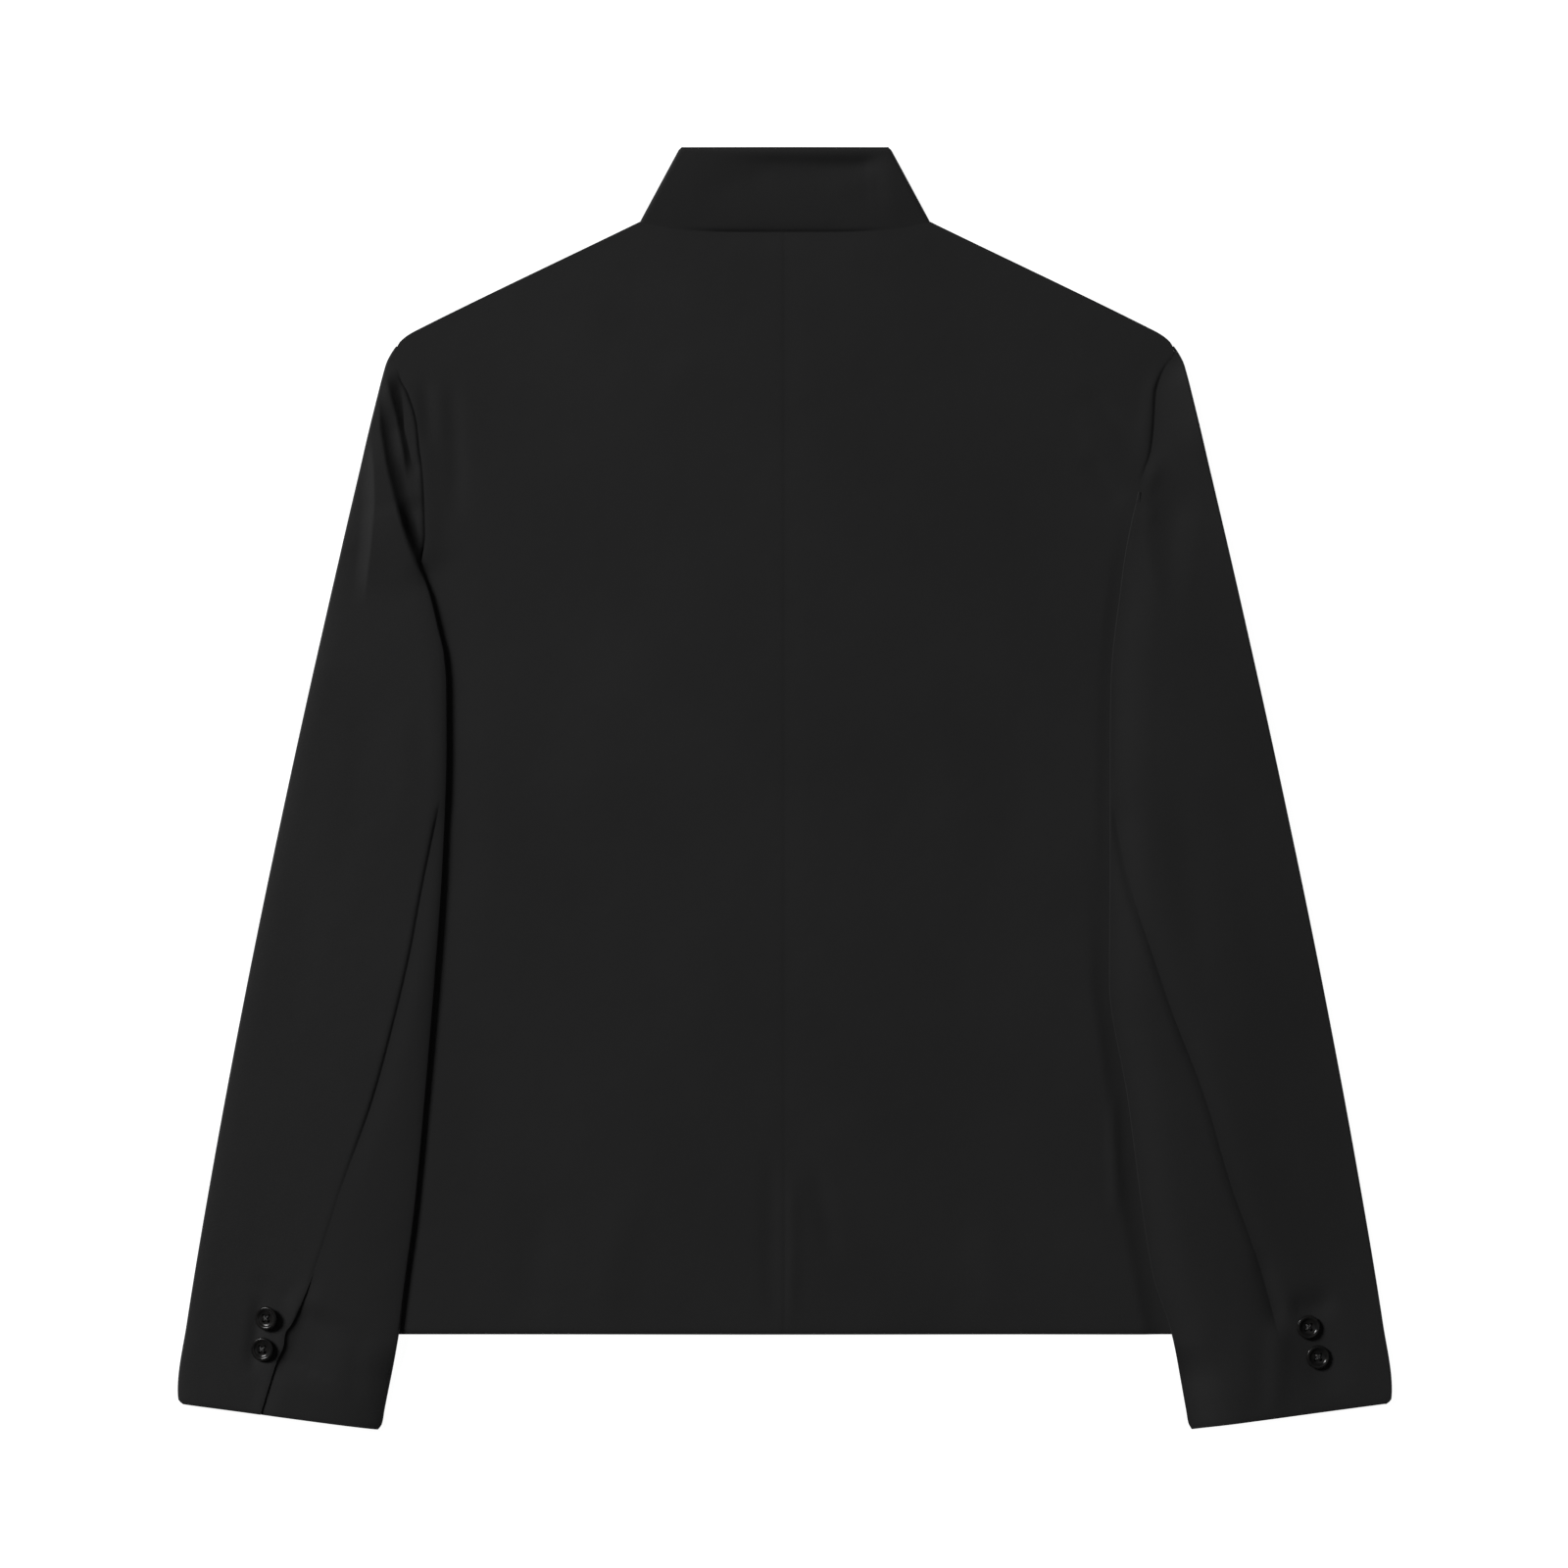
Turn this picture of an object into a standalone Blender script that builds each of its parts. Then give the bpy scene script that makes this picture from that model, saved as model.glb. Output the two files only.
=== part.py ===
"""A stand collar blazer laid face down on the floor, back uppermost, collar towards +Y."""

from collections import namedtuple
from math import cos, pi, radians, sin

import bmesh
import bpy
from mathutils import Matrix, Vector

# Sizes are millimetres, and the meshes are scaled to metres as they are made
MM = 0.001
LEFT, RIGHT = -1, 1

# Cloth
BODY_WALL = 1.6
SLEEVE_WALL = 1.4
COLLAR_WALL = 2.2
SEAM_GAP = 0.3
LAYER_GAP = 0.3

# Body
HEM_Y = -340.6
FRONT_HEM_Y = -339.6
UNDERARM_Y = 75.0
SHOULDER_POINT_Y = 274.0
NECK_CORNER = Vector((91.0, 355.0))
BACK_NECK_Y = 349.4
FRONT_NECK_DROP = 87.0
FRONT_LAP = 20.0
LAP_FLAT = 25.0
LAP_RAMP = 35.0
LAP_SHARE = 0.16
BACK_SWELL = 2.5
BACK_SWELL_REACH = 185.0

# Collar
COLLAR_TOP = Vector((65.6, 401.2))
COLLAR_FRONT_HEIGHT = 48.0
COLLAR_END = 2.0
COLLAR_FOLD = 1.8

# Sleeves
CUFF_MIDDLE_Y = -392.9
CUFF_HALF = 63.5
CUFF_SLANT = 0.1276
SLANT_TOP_Y = -200.0
FOREARM_Y = -300.0
# Rows up from the cuff: close together at its rounded corners, then across the step at the hem
CUFF_ROWS = (0.0, 3.3, 7.3, 16.0, 24.0, 32.0, 40.0, 47.5, 54.5, 63.0)
CAP_TOP_Y = 271.0
CROSSING_Y = {LEFT: 140.0, RIGHT: 190.0}
UNDER_START = 30.0
SLEEVE_FOLD = 2.0
CAP_FOLD_SHARE = 0.4
HIND_SEAM_TOP_Y = -4.0
HIND_INSET = 3.2
FRONT_SEAM_INSET = 24.0
SIDE_RAMP_START = 2.0
HEM_RAMP_START = 4.0
LOWER_RAMP = 25.0
UPPER_RAMP = 40.0
UNDERARM_BLEND = 60.0
LEAST_ON_BODY = 0.1
MOST_ON_BODY = 0.85
RAMP_SPACING = 1.5
DRAG_FOLD_WIDTH = 5.0

# Buttons
BUTTON_DIAMETER = 15.0
BUTTON_EDGE = 2.4
BUTTON_DISH = 1.0
BUTTON_RIM = 2.2
BUTTON_ROUND = 0.4
BUTTON_HOLE = 1.9
BUTTON_HOLE_SPACING = 3.4
BUTTON_STEPS = 24
HOLE_STEPS = 8


def table(columns, *rows):
    """Rows with named columns, in the order of the first column."""
    row_type = namedtuple("Row", columns)
    return sorted(row_type(*row) for row in rows)


def front_neckline(angle):
    """The seam of collar and front, from the centre front, at angle 0, to the shoulder."""
    return Vector(((NECK_CORNER.x - COLLAR_FOLD) * sin(angle), NECK_CORNER.y - FRONT_NECK_DROP * cos(angle)))


# The side seam, then the shoulder outline from the sleeve head to the neck
SIDE_SEAM = table(
    "y x",
    (HEM_Y, 262),
    (-120, 263),
    (UNDERARM_Y, 270),
)
SHOULDER = table(
    "y x",
    (SHOULDER_POINT_Y, 244),
    (279, 241),
    (282.3, 237.5),
    (285.3, 233),
    (288.4, 227.2),
    (NECK_CORNER.y, NECK_CORNER.x),
)
ARMHOLE = table(
    "y left right",
    (SHOULDER_POINT_Y, 244, 244),
    (CAP_TOP_Y, 243.5, 242.6),
    (266, 242.6, 239.2),
    (258, 241, 234),
    (248, 236.5, 231.2),
    (230, 232, 230.6),
    (212, 229.3, 229.4),
    (200, 227.6, 225.5),
    (190, 227, 222.5),
    (160, 226.3, 222),
    (140, 228, 225),
    (120, 232, 231),
    (110, 235.8, 235.4),
    (100, 241, 241),
    (88, 250, 250),
    (80, 260, 260),
    (UNDERARM_Y, 270, 270),
)
# Where a row of the back crosses the centre seam, for the height at which it meets the outer edge
BACK_ROWS = table(
    "edge_y centre_y",
    (HEM_Y, HEM_Y),
    (UNDERARM_Y, 60),
    (160, 150),
    (SHOULDER_POINT_Y, 262),
    (288.4, 282),
    (NECK_CORNER.y, BACK_NECK_Y),
)
# Where a row of a front ends on the neckline, as an angle round it from the centre front
FRONT_NECK = table(
    "edge_y angle",
    (295, 15),
    (302, 30),
    (312, 45),
    (324, 60),
    (340, 75),
    (NECK_CORNER.y - SEAM_GAP, 87),
)
# Where a row of a front ends: on the lapped edge below the neck, on the neckline above it
FRONT_ROWS = table(
    "edge_y inner_x inner_y",
    (FRONT_HEM_Y, -FRONT_LAP, FRONT_HEM_Y),
    (UNDERARM_Y, -FRONT_LAP, 50),
    (160, -FRONT_LAP, 130),
    (230, -FRONT_LAP, 200),
    (SHOULDER_POINT_Y, -FRONT_LAP, 250),
    (288.4, -FRONT_LAP, 263.5),
    *((row.edge_y, *front_neckline(radians(row.angle))) for row in FRONT_NECK),
)
OUTER_EDGE = table(
    "y x",
    (274, 245),
    (CAP_TOP_Y, 247),
    (266.9, 249),
    (260.8, 250.8),
    (248.5, 253.9),
    (217.9, 261.3),
    (125.9, 282.7),
    (3.2, 310),
    (-119.4, 335.5),
    (-242.1, 358.5),
    (-334.1, 373.8),
    (-376, 379.5),
    (-381.5, 379.2),
    (-384.8, 376.5),
)
INNER_EDGE = table(
    "y left right",
    (190, 230, 222.5),
    (160, 229, 214),
    (140, 228, 209),
    (120, 220.2, 206),
    (101, 215.9, 203.6),
    (83, 212.2, 202.4),
    (64, 210.4, 202.6),
    (28, 210.4, 203),
    (-46, 213.4, 201),
    (-119, 217.7, 203),
    (-193, 223.9, 214.5),
    (-267, 230.6, 224.2),
    (-303, 236.1, 230.2),
    (-341, 242.2, 242.2),
    (-389, 251.5, 251.5),
    (-397, 253.5, 253.5),
    (-401, 256.5, 256.5),
)
HIND_SEAM = table(
    "y left right",
    (HIND_SEAM_TOP_Y, 214.6, 205),
    (-64, 226.9, 217.1),
    (-101, 235.5, 229.4),
    (-138, 244.1, 242),
    (-193, 258.3, 263.1),
    (-248, 276.6, 279.5),
    (-298, 295, 297.3),
    (-340, 312.2, 309),
    (-391, 327.5, 325),
)
# Height of the sleeve's upper layer, at its inner side by how far a row is below the armhole crossing
INNER_RISE = table(
    "below mid",
    (-130, 2.9),
    (-100, 3.0),
    (-50, 3.4),
    (-10, 4.4),
    (10, 5.4),
    (UNDER_START, 7.0),
    (80, 8.5),
)
OUTER_RISE = table(
    "y mid",
    (215, 4.7),
    (245, 4.2),
    (CAP_TOP_Y, 3.0),
)
# The drag fold that runs down the left sleeve cap to the armhole
DRAG_FOLD = table(
    "y x depth",
    (236, 253, 0.0),
    (215, 250.5, 0.8),
    (193, 244.7, 1.2),
    (157, 234.3, 1.2),
    (140, 228, 0.6),
    (125, 222, 0.0),
)
BUTTONS = (
    # Name, side, x and y of its middle, and how far it leans
    ("cuff_button_left_upper", LEFT, 323.8, -330.7, 18.0),
    ("cuff_button_left_lower", LEFT, 326.3, -350.1, 14.0),
    ("cuff_button_right_upper", RIGHT, 327.5, -336.6, 4.0),
    ("cuff_button_right_lower", RIGHT, 333.5, -355.4, 4.0),
)


def along(rows, column, at):
    """A column's value where the first column has this value, on a smooth curve without overshoot."""
    if at <= rows[0][0]:
        return getattr(rows[0], column)
    if at >= rows[-1][0]:
        return getattr(rows[-1], column)
    keys = [row[0] for row in rows]
    values = [getattr(row, column) for row in rows]
    steps = [(values[i + 1] - values[i]) / (keys[i + 1] - keys[i]) for i in range(len(rows) - 1)]
    slopes = [steps[0]]
    for before, after in zip(steps, steps[1:]):
        slopes.append(2 * before * after / (before + after) if before * after > 0 else 0.0)
    slopes.append(steps[-1])
    i = max(k for k in range(len(rows) - 1) if keys[k] <= at)
    width = keys[i + 1] - keys[i]
    t = (at - keys[i]) / width
    start = values[i] * (1 + 2 * t) + width * slopes[i] * t
    end = values[i + 1] * (3 - 2 * t) - width * slopes[i + 1] * (1 - t)
    return start * (1 - t) ** 2 + end * t * t


def smooth(value, low, high):
    """0 up to low, 1 from high, and a soft rise between them."""
    t = min(1.0, max(0.0, (value - low) / (high - low)))
    return t * t * (3 - 2 * t)


def stretch(start, end, count):
    """Evenly spaced values from start up to, and without, end."""
    return [start + (end - start) * i / count for i in range(count)]


def side_name(side):
    return "left" if side == LEFT else "right"


# Body heights and edges, all for x measured outwards from the centre

def body_edge(side, y):
    if y <= UNDERARM_Y:
        return along(SIDE_SEAM, "x", y)
    if y <= SHOULDER_POINT_Y:
        return along(ARMHOLE, side_name(side), y)
    return along(SHOULDER, "x", y)


def front_mid(side, x):
    """The right front rises over the left one at the closing."""
    mid = BODY_WALL / 2
    if side == LEFT:
        return mid
    return mid + (BODY_WALL + LAYER_GAP) * (1 - smooth(x, LAP_FLAT, LAP_FLAT + LAP_RAMP))


def back_mid(x):
    """The back lies on the fronts and rises over the lapped closing."""
    mid = 1.5 * BODY_WALL + LAYER_GAP
    return mid + BACK_SWELL * cos(pi / 2 * min(1.0, abs(x) / BACK_SWELL_REACH)) ** 2


def back_point(side, edge_y, u):
    centre_y = along(BACK_ROWS, "centre_y", edge_y)
    edge_x = body_edge(side, edge_y) - SEAM_GAP / 2
    x = SEAM_GAP / 2 + (edge_x - SEAM_GAP / 2) * u
    y = centre_y + (edge_y - centre_y) * u * u
    return Vector((side * x, y, back_mid(x)))


def front_point(side, edge_y, u):
    inner_x = along(FRONT_ROWS, "inner_x", edge_y)
    inner_y = along(FRONT_ROWS, "inner_y", edge_y)
    x = inner_x + (body_edge(side, edge_y) - SEAM_GAP / 2 - inner_x) * u
    y = inner_y + (edge_y - inner_y) * u * u
    return Vector((side * x, y, front_mid(side, x)))


# Collar, from the left end beneath, over the back, to the right end beneath

def collar_front(side, angle, height):
    """A point of the band beneath: angle 0 at its end, a right angle at the fold."""
    lower = front_neckline(angle)
    drop = COLLAR_TOP.y - NECK_CORNER.y + FRONT_NECK_DROP - COLLAR_FRONT_HEIGHT
    upper = Vector(((COLLAR_TOP.x - COLLAR_FOLD) * sin(angle), COLLAR_TOP.y - drop * cos(angle)))
    inset = SEAM_GAP / (upper - lower).length
    place = lower.lerp(upper, inset + (1 - inset) * height)
    x = max(place.x, COLLAR_END)
    z = front_mid(side, x) + (COLLAR_WALL - BODY_WALL) / 2
    return Vector((side * x, place.y, z))


def collar_point(u, height):
    """u runs from -3 at the left end through -2 and -1 at the left fold and 0 at the back to 3."""
    side = LEFT if u < 0 else RIGHT
    step = abs(u)
    half = NECK_CORNER.x + (COLLAR_TOP.x - NECK_CORNER.x) * height - COLLAR_FOLD
    if step <= 1:
        x = half * step
        seam_y = BACK_NECK_Y + SEAM_GAP + (NECK_CORNER.y - BACK_NECK_Y) * step * step
        return Vector((side * x, seam_y + (COLLAR_TOP.y - seam_y) * height, back_mid(x)))
    upper = collar_point(1.0, height)
    lower = collar_front(RIGHT, pi / 2, height)
    if step < 2:
        turn = pi * (step - 1)
        middle = (upper.z + lower.z) / 2
        swing = (upper.z - lower.z) / 2
        x = half + COLLAR_FOLD * sin(turn)
        y = upper.y + (lower.y - upper.y) * (step - 1)
        return Vector((side * x, y, middle + swing * cos(turn)))
    return collar_front(side, pi / 2 * (3 - step), height)


# Sleeves, for x measured outwards from the centre

def sleeve_inner(side, y):
    """The inner edge: the armhole seam above the crossing, the free fold below it."""
    if y >= CROSSING_Y[side]:
        return along(ARMHOLE, side_name(side), y) + SEAM_GAP / 2
    return along(INNER_EDGE, side_name(side), y)


def sleeve_row(side, y_middle):
    """The inner and outer ends of a row across the sleeve, which slants towards the cuff."""
    rise = CUFF_HALF * CUFF_SLANT * (1 - smooth(y_middle, CUFF_MIDDLE_Y, SLANT_TOP_Y))
    inner = Vector((sleeve_inner(side, y_middle - rise), y_middle - rise))
    outer = Vector((along(OUTER_EDGE, "x", y_middle + rise), y_middle + rise))
    return inner, outer


def hind_seam(side, y):
    inset = HIND_INSET * smooth(CROSSING_Y[side] - y, UNDER_START / 2, UNDER_START)
    least = sleeve_inner(side, y) + inset
    if y > HIND_SEAM_TOP_Y:
        return least
    return max(least, along(HIND_SEAM, side_name(side), y))


def front_seam(side, y):
    """Beneath the sleeve: inside its outer fold, and at the armhole above the underarm."""
    if y > UNDERARM_Y:
        return along(ARMHOLE, side_name(side), y)
    return along(OUTER_EDGE, "x", y) - FRONT_SEAM_INSET


def over_body(side, x, y, ramp):
    """1 where the sleeve lies on the body, 0 where it lies on the floor."""
    across = 1 - smooth(x - body_edge(side, y), SIDE_RAMP_START, SIDE_RAMP_START + ramp)
    return across * smooth(y, HEM_Y - HEM_RAMP_START - ramp, HEM_Y - HEM_RAMP_START)


def lower_mid(side, x, y):
    body_top = 2 * BODY_WALL + 2 * LAYER_GAP
    return SLEEVE_WALL / 2 + body_top * over_body(side, x, y, LOWER_RAMP)


def beneath_mid(side, x, y):
    """The top sleeve's part beneath stays on the floor beside the front's armhole."""
    floor = SLEEVE_WALL / 2
    settled = smooth(UNDERARM_Y - y, 0, UNDERARM_BLEND)
    return floor + (lower_mid(side, x, y) - floor) * settled


def drag_fold(side, x, y):
    if side == RIGHT:
        return 0.0
    offset = (x - along(DRAG_FOLD, "x", y)) / DRAG_FOLD_WIDTH
    return along(DRAG_FOLD, "depth", y) / (1 + offset ** 4)


def upper_mid(side, x, y):
    inner = along(INNER_RISE, "mid", CROSSING_Y[side] - y)
    outer = along(OUTER_RISE, "mid", y)
    return outer + (inner - outer) * over_body(side, x, y, UPPER_RAMP) - drag_fold(side, x, y)


def on_row(inner, outer, x):
    return inner.lerp(outer, (x - inner.x) / (outer.x - inner.x))


def fold_point(place, reach, turn, upper, lower):
    """Round a fold from the upper layer, at turn 0, to the lower one, at turn pi."""
    z = (upper + lower) / 2 + (upper - lower) / 2 * cos(turn)
    return Vector((place.x + reach * sin(turn), place.y, z))


def top_sleeve_point(side, y_middle, u):
    """u is 0 to 1 on the upper layer, 1 to 2 round the outer fold and 2 to 3 beneath."""
    inner, outer = sleeve_row(side, y_middle)
    reach = min(SLEEVE_FOLD, CAP_FOLD_SHARE * (outer.x - inner.x))
    turn_x = outer.x - reach
    if u <= 1:
        start = hind_seam(side, on_row(inner, outer, hind_seam(side, y_middle)).y) + SEAM_GAP / 2
        place = on_row(inner, outer, start + (turn_x - start) * u)
        point = Vector((place.x, place.y, upper_mid(side, place.x, place.y)))
    elif u < 2:
        place = on_row(inner, outer, turn_x)
        high = upper_mid(side, place.x, place.y)
        low = beneath_mid(side, place.x, place.y)
        point = fold_point(place, reach, pi * (u - 1), high, low)
    else:
        end = front_seam(side, outer.y) + SEAM_GAP / 2
        place = on_row(inner, outer, turn_x + (end - turn_x) * (u - 2))
        point = Vector((place.x, place.y, beneath_mid(side, place.x, place.y)))
    point.x *= side
    return point


def under_sleeve_point(side, y_middle, u):
    """u is 0 to 1 from the hind seam, 1 to 2 round the fold, 2 to 3 on the body and 3 to 4 beside it."""
    inner, outer = sleeve_row(side, y_middle)
    reach = SLEEVE_FOLD
    turn_x = inner.x + reach
    if u <= 1:
        start = hind_seam(side, on_row(inner, outer, hind_seam(side, y_middle)).y) - SEAM_GAP / 2
        place = on_row(inner, outer, start + (turn_x - start) * u)
        point = Vector((place.x, place.y, upper_mid(side, place.x, place.y)))
    elif u < 2:
        place = on_row(inner, outer, turn_x)
        high = upper_mid(side, place.x, place.y)
        low = lower_mid(side, place.x, place.y)
        point = fold_point(place, -reach, pi * (u - 1), high, low)
    else:
        end = front_seam(side, outer.y) - SEAM_GAP / 2
        nearest = turn_x + LEAST_ON_BODY * (end - turn_x)
        farthest = turn_x + MOST_ON_BODY * (end - turn_x)
        beside = min(farthest, max(nearest, body_edge(side, y_middle) + SIDE_RAMP_START))
        if u <= 3:
            x = turn_x + (beside - turn_x) * (u - 2)
        else:
            x = beside + (end - beside) * (u - 3) ** RAMP_SPACING
        place = on_row(inner, outer, x)
        point = Vector((place.x, place.y, lower_mid(side, place.x, place.y)))
    point.x *= side
    return point


# Making the objects

def new_collection(name):
    collection = bpy.data.collections.new(name)
    bpy.context.scene.collection.children.link(collection)
    return collection


def principled(name, colour, roughness):
    material = bpy.data.materials.new(name)
    material.use_nodes = True
    shader = material.node_tree.nodes["Principled BSDF"]
    shader.inputs["Base Color"].default_value = (*colour, 1.0)
    shader.inputs["Roughness"].default_value = roughness
    shader.inputs["Metallic"].default_value = 0.0
    return material


def add_object(name, grid, collection, material=None):
    mesh = bpy.data.meshes.new(name)
    grid.to_mesh(mesh)
    grid.free()
    made = bpy.data.objects.new(name, mesh)
    collection.objects.link(made)
    if material:
        mesh.materials.append(material)
    return made


def cloth_wall(name, surface, columns, rows, wall, material):
    """A cloth wall about surface(row, column), the middle of its thickness."""
    grid = bmesh.new()
    bmesh.ops.create_grid(grid, x_segments=len(columns) - 1, y_segments=len(rows) - 1, size=0.5)
    for vertex in grid.verts:
        column = columns[round((vertex.co.x + 0.5) * (len(columns) - 1))]
        row = rows[round((vertex.co.y + 0.5) * (len(rows) - 1))]
        vertex.co = surface(row, column) * MM
    piece = add_object(name, grid, PARTS, material)
    solidify = piece.modifiers.new("Cloth", "SOLIDIFY")
    solidify.thickness = wall * MM
    solidify.offset = 0.0
    solidify.use_even_offset = True
    return piece


def make_backs():
    columns = stretch(0, 1, 9) + [1]
    rows = stretch(HEM_Y, UNDERARM_Y, 7) + [row.y for row in ARMHOLE if row.y < SHOULDER_POINT_Y]
    rows += [row.y for row in SHOULDER[:-2]] + stretch(SHOULDER[-2].y, NECK_CORNER.y, 4) + [NECK_CORNER.y]
    for side in (LEFT, RIGHT):
        surface = lambda row, column: back_point(side, row, column)
        cloth_wall("back_" + side_name(side), surface, columns, rows, BODY_WALL, WOOL)


def make_fronts():
    columns = stretch(0, LAP_SHARE, 2) + stretch(LAP_SHARE, 2 * LAP_SHARE, 3)
    columns += stretch(2 * LAP_SHARE, 1, 4) + [1]
    rows = stretch(FRONT_HEM_Y, UNDERARM_Y, 4) + [row.y for row in ARMHOLE if row.y < SHOULDER_POINT_Y]
    rows += [row.y for row in SHOULDER[:-1]] + [row.edge_y for row in FRONT_NECK]
    for side in (LEFT, RIGHT):
        surface = lambda row, column: front_point(side, row, column)
        cloth_wall("front_" + side_name(side), surface, columns, rows, BODY_WALL, WOOL)


def make_collar():
    columns = stretch(-3, -2, 6) + stretch(-2, -1, 5) + stretch(-1, 1, 14)
    columns += stretch(1, 2, 5) + stretch(2, 3, 6) + [3]
    rows = stretch(0, 1, 2) + [1]
    cloth_wall("collar", lambda row, column: collar_point(column, row), columns, rows, COLLAR_WALL, WOOL)


def make_sleeves():
    top_columns = stretch(0, 1, 9) + stretch(1, 2, 5) + stretch(2, 3, 3) + [3]
    under_columns = stretch(0, 1, 3) + stretch(1, 2, 5) + stretch(2, 3, 3) + stretch(3, 4, 5) + [4]
    arm = [CUFF_MIDDLE_Y + above for above in CUFF_ROWS] + stretch(FOREARM_Y, UNDERARM_Y, 10)
    for side in (LEFT, RIGHT):
        name = "sleeve_" + side_name(side)
        under_top = CROSSING_Y[side] - UNDER_START
        cap = [row.y for row in ARMHOLE if row.y < SHOULDER_POINT_Y]
        cloth_wall(
            name + "_top",
            lambda row, column: top_sleeve_point(side, row, column),
            top_columns, arm + cap, SLEEVE_WALL, WOOL,
        )
        cloth_wall(
            name + "_under",
            lambda row, column: under_sleeve_point(side, row, column),
            under_columns, arm + [y for y in cap if y <= under_top], SLEEVE_WALL, WOOL,
        )


def button_profile():
    """From the middle of the dished face over the rim and down to the middle of the flat back."""
    radius = BUTTON_DIAMETER / 2
    floor = BUTTON_EDGE - BUTTON_DISH
    return (
        (0.0, floor),
        (radius - BUTTON_RIM - 2 * BUTTON_ROUND, floor),
        (radius - BUTTON_RIM, BUTTON_EDGE - BUTTON_ROUND / 2),
        (radius - BUTTON_RIM / 2, BUTTON_EDGE),
        (radius - BUTTON_ROUND, BUTTON_EDGE - BUTTON_ROUND),
        (radius, BUTTON_EDGE / 2),
        (radius - 2 * BUTTON_ROUND, BUTTON_ROUND / 2),
        (radius - 4 * BUTTON_ROUND, 0.0),
        (0.0, 0.0),
    )


def make_hole_cutter(name, matrix):
    """Four pegs, one for each hole of a button."""
    pegs = bmesh.new()
    offset = BUTTON_HOLE_SPACING / 2
    for x in (-offset, offset):
        for y in (-offset, offset):
            bmesh.ops.create_cone(
                pegs, cap_ends=True, segments=HOLE_STEPS,
                radius1=BUTTON_HOLE / 2 * MM, radius2=BUTTON_HOLE / 2 * MM, depth=4 * BUTTON_EDGE * MM,
                matrix=Matrix.Translation(Vector((x, y, 0)) * MM),
            )
    cutter = add_object(name, pegs, CUTTERS)
    cutter.matrix_world = matrix
    cutter.hide_render = True
    cutter.display_type = "WIRE"
    return cutter


def make_button(name, side, x, y, lean):
    lean = radians(lean)
    cloth_top = upper_mid(side, x, y) + SLEEVE_WALL / 2
    lowest = (BUTTON_DIAMETER / 2) * sin(lean)
    place = Vector((side * x, y, cloth_top + lowest + SEAM_GAP))
    matrix = Matrix.Translation(place * MM) @ Matrix.Rotation(side * lean, 4, "Y")
    profile = bmesh.new()
    corners = [profile.verts.new((radius * MM, 0.0, z * MM)) for radius, z in button_profile()]
    for first, second in zip(corners, corners[1:]):
        profile.edges.new((first, second))
    button = add_object(name, profile, PARTS, BUTTON)
    button.matrix_world = matrix
    turned = button.modifiers.new("Turned", "SCREW")
    turned.steps = BUTTON_STEPS
    turned.render_steps = BUTTON_STEPS
    turned.use_merge_vertices = True
    turned.merge_threshold = 0.00001
    holes = button.modifiers.new("Holes", "BOOLEAN")
    holes.object = make_hole_cutter(name + "_holes", matrix)
    holes.operation = "DIFFERENCE"
    holes.solver = "EXACT"


for old in list(bpy.data.objects):
    bpy.data.objects.remove(old, do_unlink=True)
PARTS = new_collection("stand_collar_blazer")
CUTTERS = new_collection("cutters")
WOOL = principled("black_wool", (0.016, 0.016, 0.017), 0.85)
BUTTON = principled("black_button", (0.006, 0.006, 0.006), 0.22)

make_backs()
make_fronts()
make_collar()
make_sleeves()
for details in BUTTONS:
    make_button(*details)
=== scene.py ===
"""The stand collar blazer as the photograph shows it, laid face down, with its floor, light and camera."""

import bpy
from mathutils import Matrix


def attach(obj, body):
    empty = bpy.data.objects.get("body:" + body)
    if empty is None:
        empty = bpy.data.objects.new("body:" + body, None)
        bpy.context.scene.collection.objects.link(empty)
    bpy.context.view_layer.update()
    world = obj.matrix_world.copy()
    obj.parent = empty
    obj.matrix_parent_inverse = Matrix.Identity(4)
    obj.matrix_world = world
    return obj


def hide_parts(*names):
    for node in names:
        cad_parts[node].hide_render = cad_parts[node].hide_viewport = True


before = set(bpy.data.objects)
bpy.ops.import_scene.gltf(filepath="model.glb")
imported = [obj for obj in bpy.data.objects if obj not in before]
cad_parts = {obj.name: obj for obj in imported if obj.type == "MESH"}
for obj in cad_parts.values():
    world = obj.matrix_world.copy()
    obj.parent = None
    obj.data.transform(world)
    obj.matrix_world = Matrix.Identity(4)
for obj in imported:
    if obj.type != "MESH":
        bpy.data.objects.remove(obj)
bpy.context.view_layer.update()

from collections import namedtuple
from math import cos, pi, radians, sin

import bmesh
import bpy
import numpy as np
from mathutils import Matrix, Vector

# Sizes are millimetres in the frame's axes, with x measured outwards from the centre back
MM = 0.001
LEFT, RIGHT = -1, 1

# Cloth
BODY_WALL = 1.6
SLEEVE_WALL = 1.4
COLLAR_WALL = 2.2
LAYER_GAP = 0.3
# The share of its thickness that a free edge keeps, how far in cloth has all of it, and what counts as all
FREE_EDGE = 0.35
EDGE_REACH = 2.2
FULL_SHARE = 0.999
RIM_ANGLE = 50.0
CLOTH_MAP = "cloth"
# How far off a seam the cloth begins to roll down to it
STEEP = 1.8
GENTLE = 9.0
# The shares of a path where a crease or a fold is whole and begins to end, and a fold's spread in widths
CREASE_START = 0.35
FOLD_START = 0.15
CREASE_END = 0.7
FOLD_SPREAD_HIGH = 4
FOLD_SPREAD_LOW = 3

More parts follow.
